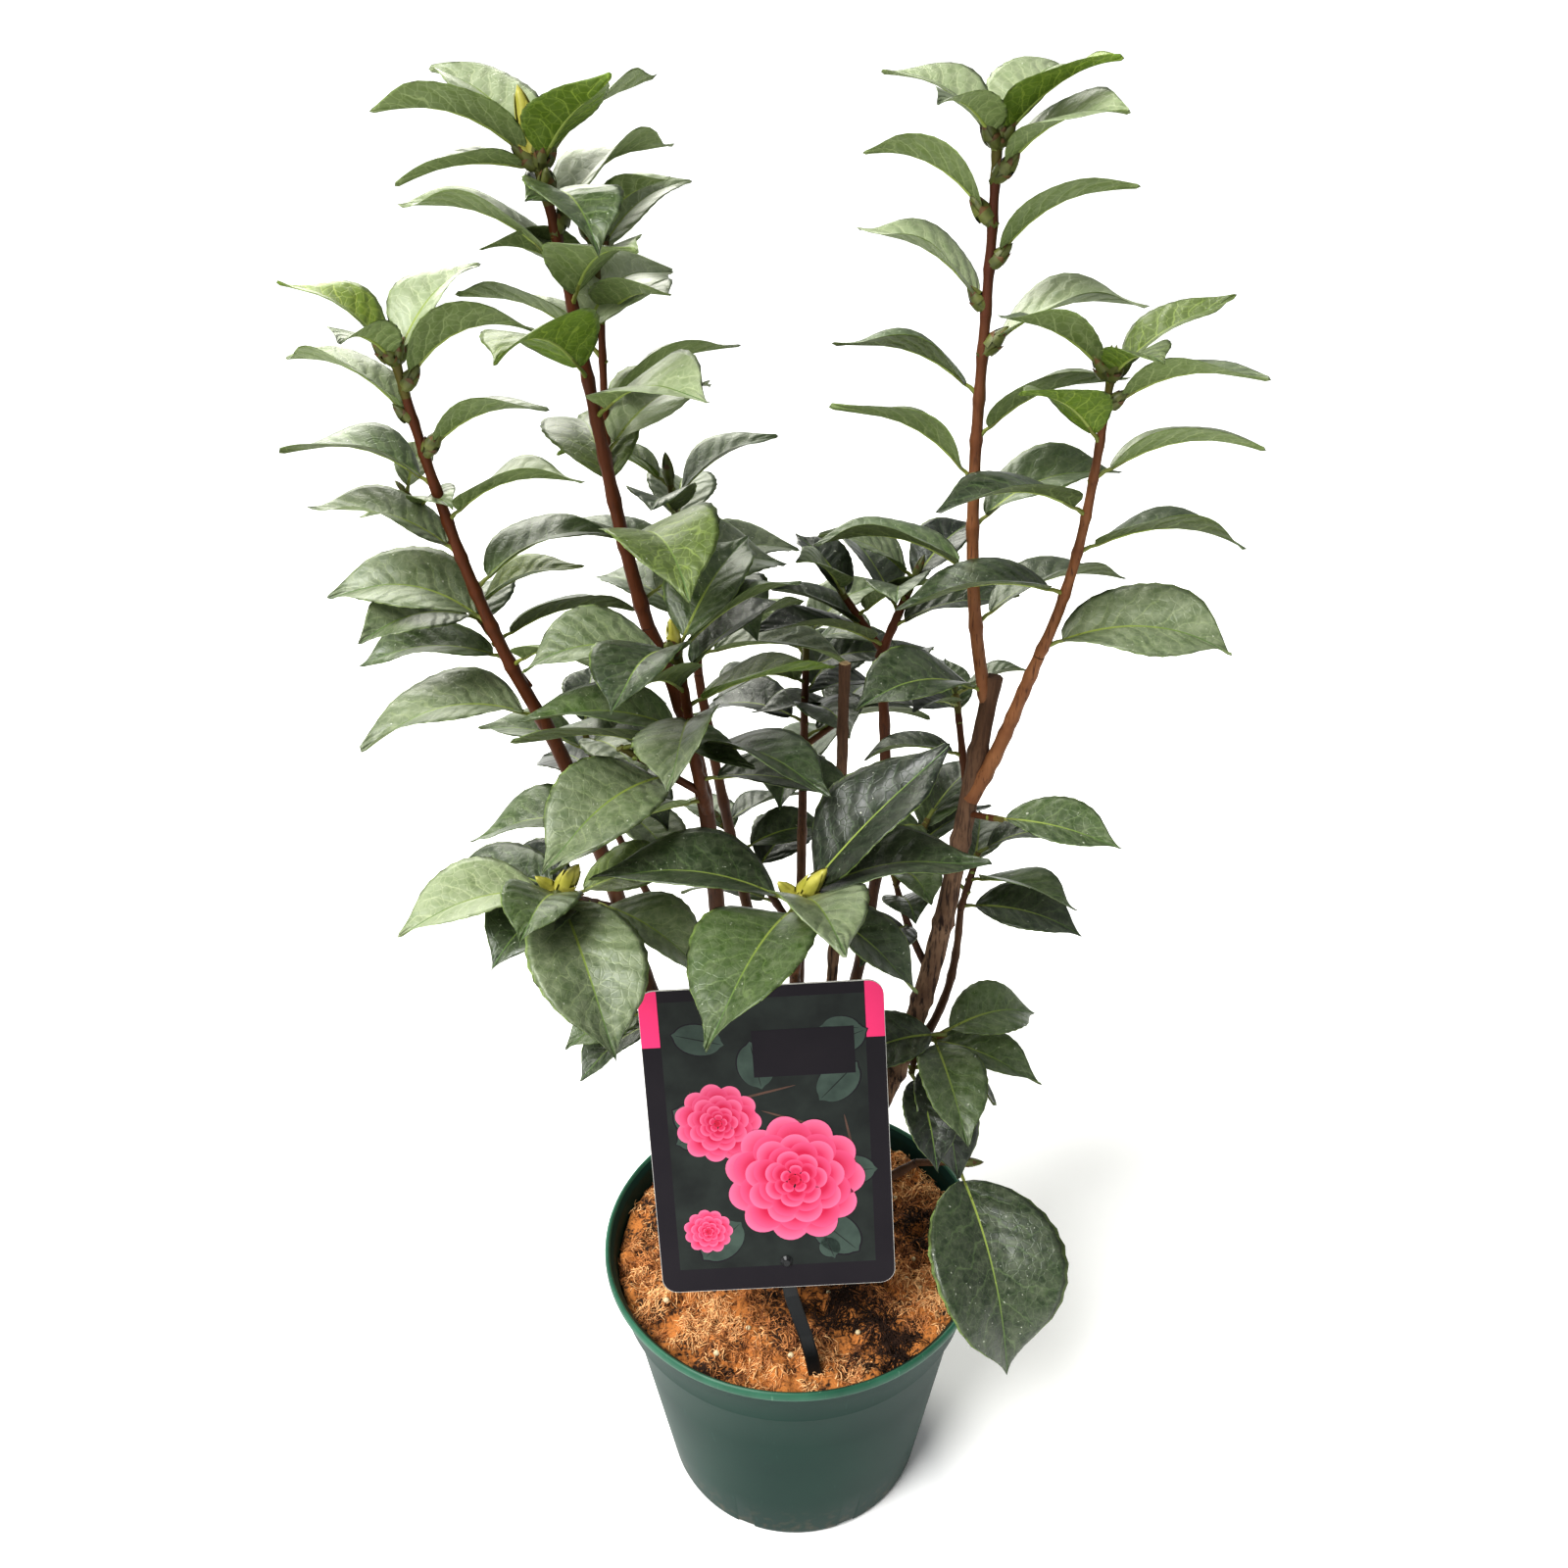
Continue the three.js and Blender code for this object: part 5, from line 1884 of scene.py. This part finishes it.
# ------------------------------------------------------------------ pot
@dataclass
class Pot:
    """The nursery pot: a thin tapering wall with a stepped band and a rolled lip.

    Args:
        height: height in mm.
        lip_radius: outer radius of the lip.
        lip_depth: depth of the lip.
        band_wall: wall thickness of the band.
        band_top: outer radius under the lip.
        band_foot: outer radius at the foot of the band.
        band_bottom: height of the band's foot.
        wall_top: outer radius under the band.
        base: outer radius near the ground.
        stand: radius of the flat underside.
        wall: wall thickness.
        notches: drain notches round the foot.
        notch: size of the box that cuts a notch.
        softening: width of the softened edges.
        sides: facets round the pot.
    """

    height: float = 145
    lip_radius: float = 95
    lip_depth: float = 4.6
    band_wall: float = 1.2
    band_top: float = 91.2
    band_foot: float = 88
    band_bottom: float = 118
    wall_top: float = 85
    base: float = 67.3
    stand: float = 64
    wall: float = 1.8
    notches: int = 8
    notch: Triple = (13, 9, 7.2)
    softening: float = 0.25
    sides: int = 128

    def profile(self) -> list[tuple[float, float]]:
        """Returns radius and height from the underside, over the lip and down inside."""
        under, foot, heel = self.height - self.lip_depth, self.band_bottom, 3.6
        lip, top, thin = self.lip_radius, self.height, self.band_wall
        rise = [
            (self.base + (self.wall_top - self.base) * s, heel + (foot - 2 - heel) * s)
            for s in (0, 0.25, 0.5, 0.75, 1)
        ]
        band = [
            (self.wall_top + 0.5, foot - 1.7), (self.band_foot - 0.4, foot - 0.4), (self.band_foot, foot),
            (self.band_top - 0.3, under - 1.4), (self.band_top + 0.6, under - 0.3),
        ]
        rolled = [
            (lip - 1.9, under - 0.6), (lip - 0.7, under - 0.2), (lip - 0.1, under + 0.7), (lip, under + 2),
            (lip - 0.2, top - 1.2), (lip - 0.7, top - 0.3), (lip - 1.3, top), (lip - 2.0, top - 0.3),
            (lip - 2.6, top - 1.4),
        ]
        inside = [
            (self.band_top + 0.6 - thin, top - 3.2), (self.band_top - thin, top - 5),
            (self.band_foot - thin, foot), (self.wall_top - self.wall, foot - 3),
            (self.wall_top - self.wall - 3, 95), (self.base - self.wall, 4.4),
        ]
        return [(self.stand + 1.6, 0.4), (self.base - 0.8, 1.2), *rise, *band, *rolled, *inside]

    def build(self) -> None:
        """Draws the wall up from the underside, cuts its notches and dresses it."""
        piece = drawn_up("nursery_pot", self.sides, (self.stand, 0), self.profile())
        self.cut_notches(piece)
        smooth(piece, 35)
        dress(piece, POT_PLASTIC, LIP_PLASTIC)
        # The lip's top and outer face take the paler lip plastic, a painted highlight along the rim.
        for face in piece.data.polygons:
            x, y, z = face.center
            lip_high = z > (self.height - self.lip_depth + 0.3) * MM
            if lip_high and math.hypot(x, y) > (self.band_top + 1) * MM:
                face.material_index = 1
        hand_over(piece, ["pot"])

    def cut_notches(self, piece: Piece) -> None:
        """Cuts the drain notches through the foot of the wall and softens the edges."""
        cutters = []
        for k in range(self.notches):
            angle = 2 * math.pi * (k + 0.5) / self.notches
            place = (self.base * math.cos(angle) * MM, self.base * math.sin(angle) * MM, 0)
            deselect()
            bpy.ops.mesh.primitive_cube_add(size=1, location=place, rotation=(0, 0, angle))
            cutter = chosen(f"notch_{k}")
            cutter.scale = Vector(self.notch) * MM
            apply_place(cutter)
            cutters.append(cutter)
        tool = join(cutters, "notches")
        cut = piece.modifiers.new("notches", "BOOLEAN")
        cut.operation, cut.solver, cut.object = "DIFFERENCE", "EXACT", tool
        soften = piece.modifiers.new("soften", "BEVEL")
        soften.width, soften.segments = self.softening * MM, 2
        soften.limit_method, soften.angle_limit = "ANGLE", math.radians(50)
        apply_modifiers(piece)
        bpy.data.objects.remove(tool)


# ------------------------------------------------------------------ compost
@dataclass(frozen=True)
class CoirFinish(Finish):
    """Dry loose bits of the compost."""

    roughness: float = 0.95
    mottle: float = 3
    grain: float = 0.5


@dataclass
class Compost:
    """Bark and coir compost: a lumpy bed under tufts of loose fibre.

    Args:
        level: height of its surface in mm.
        reach: radius of its surface.
        shoulder: height at its edge.
        foot: radius and height of its underside, inside the pot.
        sides: facets round it.
        row: distance between the rings of its surface.
        lumps: name, size and depth in mm, and octaves of each relief.
        tufts: clumps of coir.
        fibres: fibres in a clump.
        grains: pale grains on the surface.
        tuft_reach: radius within which tufts stand.
        grain_reach: radius within which grains lie.
        edge: radius beyond which the height of the edge counts.
        fibre_edge: radius that no fibre passes.
        dark_spot: middle of the darker patch in front, where the darker tints of fibre gather.
        dark_wide: size of that patch.
        bead: sides of a grain.
    """

    level: float = 136.2
    reach: float = 88.3
    shoulder: float = 132
    foot: tuple[float, float] = (80, 100)
    sides: int = 240
    row: float = 1.7
    lumps: tuple[tuple[str, float, float, int], ...] = (("lumps", 12, 12, 1), ("crumbs", 4, 5.5, 3))
    tufts: int = 560
    fibres: int = 28
    grains: int = 30
    tuft_reach: float = 86.5
    grain_reach: float = 78
    edge: float = 87.2
    fibre_edge: float = 88.8
    dark_spot: tuple[float, float] = (40, -46)
    dark_wide: float = 26
    bead: int = 8

    TINTS = (
        CoirFinish("light_coir", "#e3b07a", "#f2c894"),
        CoirFinish("orange_coir", "#bd804e", "#d0955e"),
        CoirFinish("brown_coir", "#845534", "#996740"),
        CoirFinish("dark_bark_fibre", "#241309", "#3a2213"),
        Finish("pale_grain", "#cfc3a4", "#b9a985", 0.7, 1, 0.4),
    )
    # Numbers of the darkest fibre and of the grains among the tints.
    DARK, GRAIN = 3, 4
    # A spot's shade at or under each of these limits takes the next darker tint.
    SHADES = (0.5, 0.28, 0.12)

    def bed(self) -> Piece:
        """Returns the lumpy bed, closed below inside the pot."""
        collar = [(82.4, 114), (85.6, 120), (87, 126), (self.reach, self.shoulder), (87.8, 134.4)]
        collar.append((85.4, self.level))
        surface = [(wide, self.level) for wide in np.arange(83.7, 2, -self.row)]
        piece = drawn_up("compost_bed", self.sides, self.foot, collar + surface)
        for relief in self.lumps:
            self.lump(piece, *relief)
        smooth(piece, 80)
        dress(piece, SOIL)
        return piece

    def lump(self, piece: Piece, name: str, size: float, depth: float, detail: int) -> None:
        """Raises lumps on the bed's top.

        Args:
            piece: the bed.
            name: the relief's name.
            size: width of a lump in mm.
            depth: relief in mm.
            detail: octaves of noise.
        """
        top = piece.vertex_groups.get("top") or piece.vertex_groups.new(name="top")
        inside = [
            v.index for v in piece.data.vertices
            if v.co.z > 133 * MM and math.hypot(v.co.x, v.co.y) < 88 * MM
        ]
        top.add(inside, 1.0, "REPLACE")
        texture = bpy.data.textures.new(name, "CLOUDS")
        texture.noise_scale, texture.noise_depth = size * MM, detail
        relief = piece.modifiers.new(name, "DISPLACE")
        relief.texture, relief.texture_coords, relief.direction = texture, "LOCAL", "Z"
        relief.vertex_group = "top"
        relief.strength, relief.mid_level = depth * MM, 0.58
        apply_modifiers(piece)

    def cover(self, bed: Piece) -> Piece:
        """Strews tufts of fibre and grains over the bed.

        Args:
            bed: the finished bed.

        Returns:
            The joined fibres.
        """
        heap = Heap("compost_fibres", self.TINTS)
        draw = seeded(911)
        for _ in range(self.tufts):
            r, a = self.tuft_reach * math.sqrt(draw()), 2 * math.pi * draw()
            x, y = r * math.cos(a), r * math.sin(a)
            patch = 0.5 + 0.5 * math.sin(x / 17 + 1.3) * math.cos(y / 14 - 0.6)
            dx, dy = ((place - middle) / self.dark_wide for place, middle in zip((x, y), self.dark_spot))
            shade = patch - 0.75 * math.exp(-dx * dx - dy * dy) + 0.5 * (draw() - 0.5)
            tint = sum(shade <= limit for limit in self.SHADES)
            spread, comb = 2.5 + 5 * draw(), 2 * math.pi * draw()
            for _ in range(self.fibres):
                worn = tint if draw() > 0.25 else min(self.DARK, tint + 1)
                points, faces = self.fibre(bed, (x, y), spread, comb, draw)
                heap.add(points, faces, [worn] * len(faces))
        for _ in range(self.grains):
            points, faces = self.grain(bed, draw)
            heap.add(points, faces, [self.GRAIN] * len(faces))
        return heap.piece()

    def ground(self, bed: Piece, x: float, y: float) -> float:
        """Returns the height of the bed under a spot, in mm."""
        inward = min(1.0, self.edge / max(1.0, math.hypot(x, y)))
        above = Vector((x * inward, y * inward, 200)) * MM
        hit, place, _, _ = bed.ray_cast(above, Vector((0, 0, -1)))
        return place.z / MM if hit else self.level

    def fibre(
        self, bed: Piece, spot: tuple[float, float], spread: float, comb: float, draw: Draw,
    ) -> tuple[list[np.ndarray], list[Face]]:
        """Shapes one curved fibre, three-sided and thinning to its tip.

        Args:
            bed: what it lies on.
            spot: its tuft's middle in mm.
            spread: the tuft's size in mm.
            comb: the tuft's main direction in radians.
            draw: gives the next random number.

        Returns:
            Points and faces.
        """
        x, y = (s + spread * (draw() + draw() - 1) for s in spot)
        way = comb + 2.2 * (draw() - 0.5)
        long, rise, thick = 2 + 4.5 * draw(), 3.6 * draw() * draw(), 0.17 + 0.19 * draw()
        bend = 2.4 * (draw() - 0.5)
        points: list[np.ndarray] = []
        for f, share in ((0.0, 1), (0.5, 0.9), (1.0, 0.3)):
            angle = way + bend * f
            px, py = x + long * f * math.cos(angle), y + long * f * math.sin(angle)
            inward = min(1.0, self.fibre_edge / max(1.0, math.hypot(px, py)))
            px, py = px * inward, py * inward
            z = self.ground(bed, px, py) + 0.1 + rise * math.sin(math.pi * (0.15 + 0.7 * f))
            across = np.array([-math.sin(angle), math.cos(angle), 0])
            for k in range(3):
                turn = 2 * math.pi * k / 3
                out = across * math.cos(turn) + np.array([0, 0, math.sin(turn)])
                points.append(np.array([px, py, z]) + thick * share * out)
        return points, tube_faces(3, 3) + [(2, 1, 0), (6, 7, 8)]

    def grain(self, bed: Piece, draw: Draw) -> tuple[list[np.ndarray], list[Face]]:
        """Shapes one pale grain, an uneven bead.

        Args:
            bed: what it lies on.
            draw: gives the next random number.

        Returns:
            Points and faces.
        """
        r, a, size = self.grain_reach * math.sqrt(draw()), 2 * math.pi * draw(), 0.9 + 0.9 * draw()
        x, y = r * math.cos(a), r * math.sin(a)
        middle = np.array([x, y, self.ground(bed, x, y) + 1.2])
        count, rings = self.bead, ((-0.5, 0.8), (0.1, 1.0), (0.6, 0.7))
        points = [middle - (0, 0, 0.9 * size)]
        for level, wide in rings:
            for k in range(count):
                turn = 2 * math.pi * k / count
                out = np.array([wide * math.cos(turn), 0.85 * wide * math.sin(turn), level])
                points.append(middle + size * out)
        points.append(middle + (0, 0, 0.9 * size))
        last = 1 + (len(rings) - 1) * count
        faces = [(0, 1 + (k + 1) % count, 1 + k) for k in range(count)]
        faces += tube_faces(len(rings), count, 1)
        faces += [(last + k, last + (k + 1) % count, last + count) for k in range(count)]
        return points, faces

    def build(self) -> None:
        """Builds the bed and its cover."""
        bed = self.bed()
        cover = self.cover(bed)
        for piece in (bed, cover):
            hand_over(piece, ["growing_medium"])


# ------------------------------------------------------------------ label
@dataclass
class PictureLabel:
    """A printed card with a plain border, three plain rosettes and leaves.

    Args:
        place: where the card stands.
        lift: height of the print over the card's face, in mm.
        layer: height of each further layer of print, in mm.
        edge: width of bare card round the print.
        border: width of the border.
        block: width and height of a corner block.
    """

    place: CardPlace
    lift: float = 0.04
    layer: float = 0.006
    edge: float = 0.2
    border: float = 8.5
    block: tuple[float, float] = (8, 26)

    CHARCOAL = InkFinish("charcoal_print", "#17121a", "#1b161d", mottle=20)
    PINK = InkFinish("pink_print", "#e63d79", "#e33b76", mottle=20)
    SHADE = InkFinish("dark_leaf_print", "#262c29", "#191d1c", mottle=14)
    LEAF = InkFinish("green_leaf_print", "#43524a", "#323f39", mottle=10)
    PETAL = PetalFinish("pink_petal_print", "#b71c47", "#cc547b")
    PALE = PetalFinish("pale_petal_print", "#c03059", "#d36b8e")
    TWIG = InkFinish("brown_twig_print", "#5d463c", "#4b3830")
    DEEP = PetalFinish("deep_petal_print", "#ae1238", "#cb345d")

    # Petals, reach and width as shares of the flower's radius, ink and first angle of each ring.
    RINGS = (
        (11, 1.0, 0.56, PALE, 0), (10, 0.86, 0.52, PETAL, 16), (9, 0.72, 0.45, PALE, 7),
        (8, 0.58, 0.4, PETAL, 25), (7, 0.45, 0.33, PALE, 2), (6, 0.33, 0.26, PETAL, 31),
        (5, 0.22, 0.18, PALE, 12), (4, 0.12, 0.12, DEEP, 40),
    )
    # Foot, angle, reach and width of each printed leaf.
    LEAVES = (
        (-6, 44, 165, 34, 15), (14, 40, 20, 32, 15), (14, 10, 45, 36, 17), (-8, -2, 150, 38, 18),
        (8, -28, 315, 40, 19), (-6, -30, 225, 38, 18), (14, -16, 0, 32, 15), (0, 14, 100, 34, 17),
        (-16, 10, 200, 26, 13), (16, 54, 355, 26, 11), (20, -44, 290, 16, 10),
    )
    # Foot, angle and reach of each printed twig.
    TWIGS = ((-46, 14, 12, 60), (-40, 44, 290, 50), (44, -2, 160, 50), (40, -28, 100, 40))

    def height(self, level: int) -> float:
        """Returns the height of a layer of print over the card's middle, in metres."""
        return (self.place.thick / 2 + self.lift + self.layer * level) * MM

    def sheet(
        self,
        name: str,
        middle: tuple[float, float],
        size: tuple[float, float],
        level: int,
        finish: Finish,
        corner: float = 0,
    ) -> Piece:
        """Lays a flat patch of print in the card's own plane.

        Args:
            name: the patch's name.
            middle: its middle in the card's plane.
            size: its width and height in mm.
            level: its layer.
            finish: its ink.
            corner: radius of its corners.

        Returns:
            The patch.
        """
        deselect()
        place = (middle[0] * MM, middle[1] * MM, self.height(level))
        bpy.ops.mesh.primitive_plane_add(size=1, location=place)
        patch = chosen(name)
        patch.scale = (size[0] * MM, size[1] * MM, 1)
        apply_place(patch)
        if corner:
            self.round_off(patch, corner, lambda vertex: True)
        dress(patch, finish)
        return patch

    def round_off(self, patch: Piece, radius: float, wanted: Callable[[bpy.types.MeshVertex], bool]) -> None:
        """Rounds corners of a patch.

        Args:
            patch: the patch.
            radius: their radius in mm.
            wanted: tells which corners are meant.
        """
        bpy.ops.object.mode_set(mode="EDIT")
        bpy.ops.mesh.select_mode(type="VERT")
        bpy.ops.mesh.select_all(action="DESELECT")
        bpy.ops.object.mode_set(mode="OBJECT")
        for vertex in patch.data.vertices:
            vertex.select = wanted(vertex)
        bpy.ops.object.mode_set(mode="EDIT")
        bpy.ops.mesh.bevel(offset=radius * MM, segments=8, affect="VERTICES")
        bpy.ops.object.mode_set(mode="OBJECT")

    def petal(
        self,
        name: str,
        middle: tuple[float, float],
        angle: float,
        size: tuple[float, float],
        level: int,
        finish: Finish,
        point: float = 0,
    ) -> Piece:
        """Lays a petal or a leaf of print, round or pointed, in the card's own plane.

        Args:
            name: its name.
            middle: the flower's middle.
            angle: where it points, in degrees.
            size: distance of its tip from the middle, and its width, in mm.
            level: its layer.
            finish: its ink.
            point: how far its tip is drawn out, in mm.

        Returns:
            The petal.
        """
        deselect()
        reach, wide = size
        bpy.ops.mesh.primitive_circle_add(vertices=28, radius=0.5, fill_type="NGON", location=(0, 0, 0))
        petal = chosen(name)
        for vertex in petal.data.vertices:
            if point and abs(vertex.co.y) < 0.02:
                vertex.co.x += math.copysign(point / reach, vertex.co.x)
        petal.scale = (0.62 * reach * MM, wide * MM, 1)
        turn, out = math.radians(angle), 0.69 * reach
        petal.rotation_euler = (0, 0, turn)
        x, y = middle[0] + out * math.cos(turn), middle[1] + out * math.sin(turn)
        petal.location = (x * MM, y * MM, self.height(level))
        apply_place(petal)
        dress(petal, finish)
        return petal

    def flower(self, name: str, middle: tuple[float, float], reach: float, level: int) -> list[Piece]:
        """Lays a rosette of round petals in rings about a tight heart.

        Args:
            name: its name.
            middle: its middle.
            reach: its radius in mm.
            level: its lowest layer.

        Returns:
            Its petals.
        """
        made = []
        for step, (count, share, wide, finish, start) in enumerate(self.RINGS):
            for k in range(count):
                layer = level + 4 * step + 2 * (k % 2)
                size = (reach * share * (1 + 0.05 * math.sin(3.1 * k + 1.7 * step)), reach * wide)
                angle = start + 360 * k / count
                made.append(self.petal(f"{name}_{step}_{k}", middle, angle, size, layer, finish))
        heart = (reach * 0.14, reach * 0.14)
        made.append(self.sheet(f"{name}_heart", middle, heart, level + 34, self.DEEP, reach * 0.06))
        return made

    def corner_block(self, side: int) -> Piece:
        """Lays a pink block in an upper corner, rounded with the card.

        Args:
            side: -1 for the left corner, 1 for the right one.

        Returns:
            The block, still in the card's own plane.
        """
        wide, tall = self.block
        x, y = side * ((self.place.wide - wide) / 2 - self.edge), (self.place.high - tall) / 2 - self.edge
        block = self.sheet(f"corner_{side}", (x, y), self.block, 1, self.PINK)
        self.round_off(block, self.place.corner - 0.3, lambda vertex: (
            vertex.co.x * side > x * MM * side and vertex.co.y > y * MM
        ))
        return block

    def foliage(self) -> list[Piece]:
        """Lays the printed leaves, each with a dark edge and a vein, and the twigs."""
        made = []
        for k, (x, y, angle, reach, wide) in enumerate(self.LEAVES):
            for name, size, level, finish, point in (
                ("leaf_edge", (reach, wide), 2 + k % 3, self.CHARCOAL, 2),
                ("leaf", (reach * 0.98, wide * 0.94), 5 + k % 3, self.LEAF, 2),
                ("vein", (reach * 0.97, 0.5), 9, self.SHADE, 0),
            ):
                made.append(self.petal(f"{name}_{k}", (x, y), angle, size, level, finish, point))
        for k, (x, y, angle, reach) in enumerate(self.TWIGS):
            made.append(self.petal(f"twig_{k}", (x, y), angle, (reach, 1.1), 10, self.TWIG))
        return made

    def build(self) -> None:
        """Prints the card and dresses it and its strap."""
        card, corner = (self.place.wide, self.place.high), self.place.corner - self.edge
        printed, picture = (tuple(size - 2 * rim for size in card) for rim in (self.edge, self.border))
        made = [
            self.sheet("print", (0, 0), printed, 0, self.CHARCOAL, corner),
            self.sheet("picture", (0, 3), picture, 1, self.SHADE),
            self.corner_block(-1),
            self.corner_block(1),
            *self.foliage(),
            self.sheet("panel", (17, 42), (44, 22), 12, self.CHARCOAL),
            *self.flower("left_bloom", (-22, 10), 19, 14),
            *self.flower("bloom", (10, -19), 31, 50),
            *self.flower("small_bloom", (-30, -43), 11, 14),
        ]
        face = join(made, "label_print")
        face.data.transform(Matrix.Scale(MM, 4) @ self.place.matrix() @ Matrix.Scale(1 / MM, 4))
        apply_place(face)
        hand_over(face)
        for node, finish in (("label_card", CARD_SHEET), ("label_strap", STRAP_PLASTIC)):
            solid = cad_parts[node]
            solid.data.materials.clear()
            dress(solid, finish)


# ------------------------------------------------------------------ studio
@dataclass
class Studio:
    """A plain pale floor, soft lights and the camera.

    Args:
        eye: the camera's place in mm.
        pitch: degrees that it looks down.
        roll: degrees that it is turned about its view.
        sensor: width of the camera's film in mm.
        focal: focal length as a share of the picture's width.
        room: brightness of the room's walls.
        sunshine: strength of the sun.
        sun_way: where the sun shines to.
        sun_spread: how broad the sun is, in degrees.
        aim: what the lights look at, in metres.
        exposure: exposure in stops and the gamma of the print.
    """

    eye: Triple = (-3.1, -482, 661)
    pitch: float = 28.3
    roll: float = -0.45
    sensor: float = 36
    focal: float = 1350 / 1600
    room: float = 0.35
    sunshine: float = 3.3
    sun_way: Triple = (0.55, 0.5, -1)
    sun_spread: float = 32
    aim: Triple = (0, 0, 0.35)
    exposure: tuple[float, float] = (0.38, 0.85)

    # The floor is matt white board.
    FLOOR = Finish("matt_white_floor", "#fcfcfc", "#fafafa", 0.9, 400, 5, 0.02)

    def floor(self) -> None:
        """Lays the floor."""
        deselect()
        bpy.ops.mesh.primitive_plane_add(size=300, location=(0, 0, -0.0002))
        floor = chosen("studio_floor")
        dress(floor, self.FLOOR)

    def lamp(self, kind: str, name: str, place: Triple, way: Vector, power: float) -> Piece:
        """Hangs a light.

        Args:
            kind: the kind of light.
            name: its name.
            place: its place in metres.
            way: where it shines to.
            power: its power, in watts but for a sun.

        Returns:
            The light.
        """
        deselect()
        bpy.ops.object.light_add(type=kind, location=place)
        lamp = chosen(name)
        lamp.data.energy = power
        lamp.rotation_euler = way.to_track_quat("-Z", "Y").to_euler()
        return lamp

    def panel(self, name: str, place: Triple, size: float, power: float, colour: str) -> None:
        """Hangs a soft square light that looks at the plant's middle.

        Args:
            name: its name.
            place: its place in metres.
            size: its side in metres.
            power: its power in watts.
            colour: its colour.
        """
        lamp = self.lamp("AREA", name, place, Vector(self.aim) - Vector(place), power)
        lamp.visible_camera = False
        lamp.data.size, lamp.data.color = size, srgb(colour)[:3]

    def world(self) -> bpy.types.World:
        """Returns a pale room that the camera sees as plain white."""
        world = bpy.data.worlds.new("soft_room")
        world.use_nodes = True
        tree = world.node_tree
        room = tree.nodes["Background"]
        room.inputs[0].default_value = srgb("#fbfcfd")
        room.inputs[1].default_value = self.room
        backdrop = add_node(tree, "ShaderNodeBackground", {0: srgb("#ffffff"), 1: 1.0})
        seen = add_node(tree, "ShaderNodeLightPath").outputs["Is Camera Ray"]
        shaders = {0: seen, 1: room.outputs[0], 2: backdrop.outputs[0]}
        mix = add_node(tree, "ShaderNodeMixShader", links=shaders)
        tree.links.new(mix.outputs[0], tree.nodes["World Output"].inputs[0])
        return world

    def camera(self) -> Piece:
        """Returns the camera."""
        deselect()
        bpy.ops.object.camera_add(location=Vector(self.eye) * MM)
        camera = chosen("camera")
        camera.rotation_euler = tilted(self.pitch, self.roll).to_euler()
        camera.data.sensor_width, camera.data.lens = self.sensor, self.sensor * self.focal
        camera.data.clip_start = 0.01
        return camera

    def build(self) -> None:
        """Builds the studio."""
        self.floor()
        self.panel("sheen_light", (-0.7, 1.5, 1.5), 1.3, 25, "#fcfbf2")
        self.panel("front_light", (-1.1, -1.3, 1.3), 0.9, 9, "#fffaf2")
        sun = self.lamp("SUN", "soft_sun", (-1, -1, 2), Vector(self.sun_way), self.sunshine)
        sun.data.angle = math.radians(self.sun_spread)
        scene = bpy.context.scene
        scene.world, scene.camera = self.world(), self.camera()
        scene.view_settings.view_transform = "Standard"
        scene.view_settings.exposure, scene.view_settings.gamma = self.exposure


def main() -> None:
    """Builds every part of the scene in order."""
    logging.basicConfig(level=logging.INFO, format="%(message)s")
    place = CardPlace()
    growth = Growth(place)
    growth.grow()
    LOG.info("%d leaves", sum(len(leaves) for leaves in growth.leaves.values()))
    Studio().build()
    wood = Wood()
    wood.build()
    Foliage(growth, wood).build()
    Pot().build()
    Compost().build()
    PictureLabel(place).build()


if __name__ == "__main__":
    main()
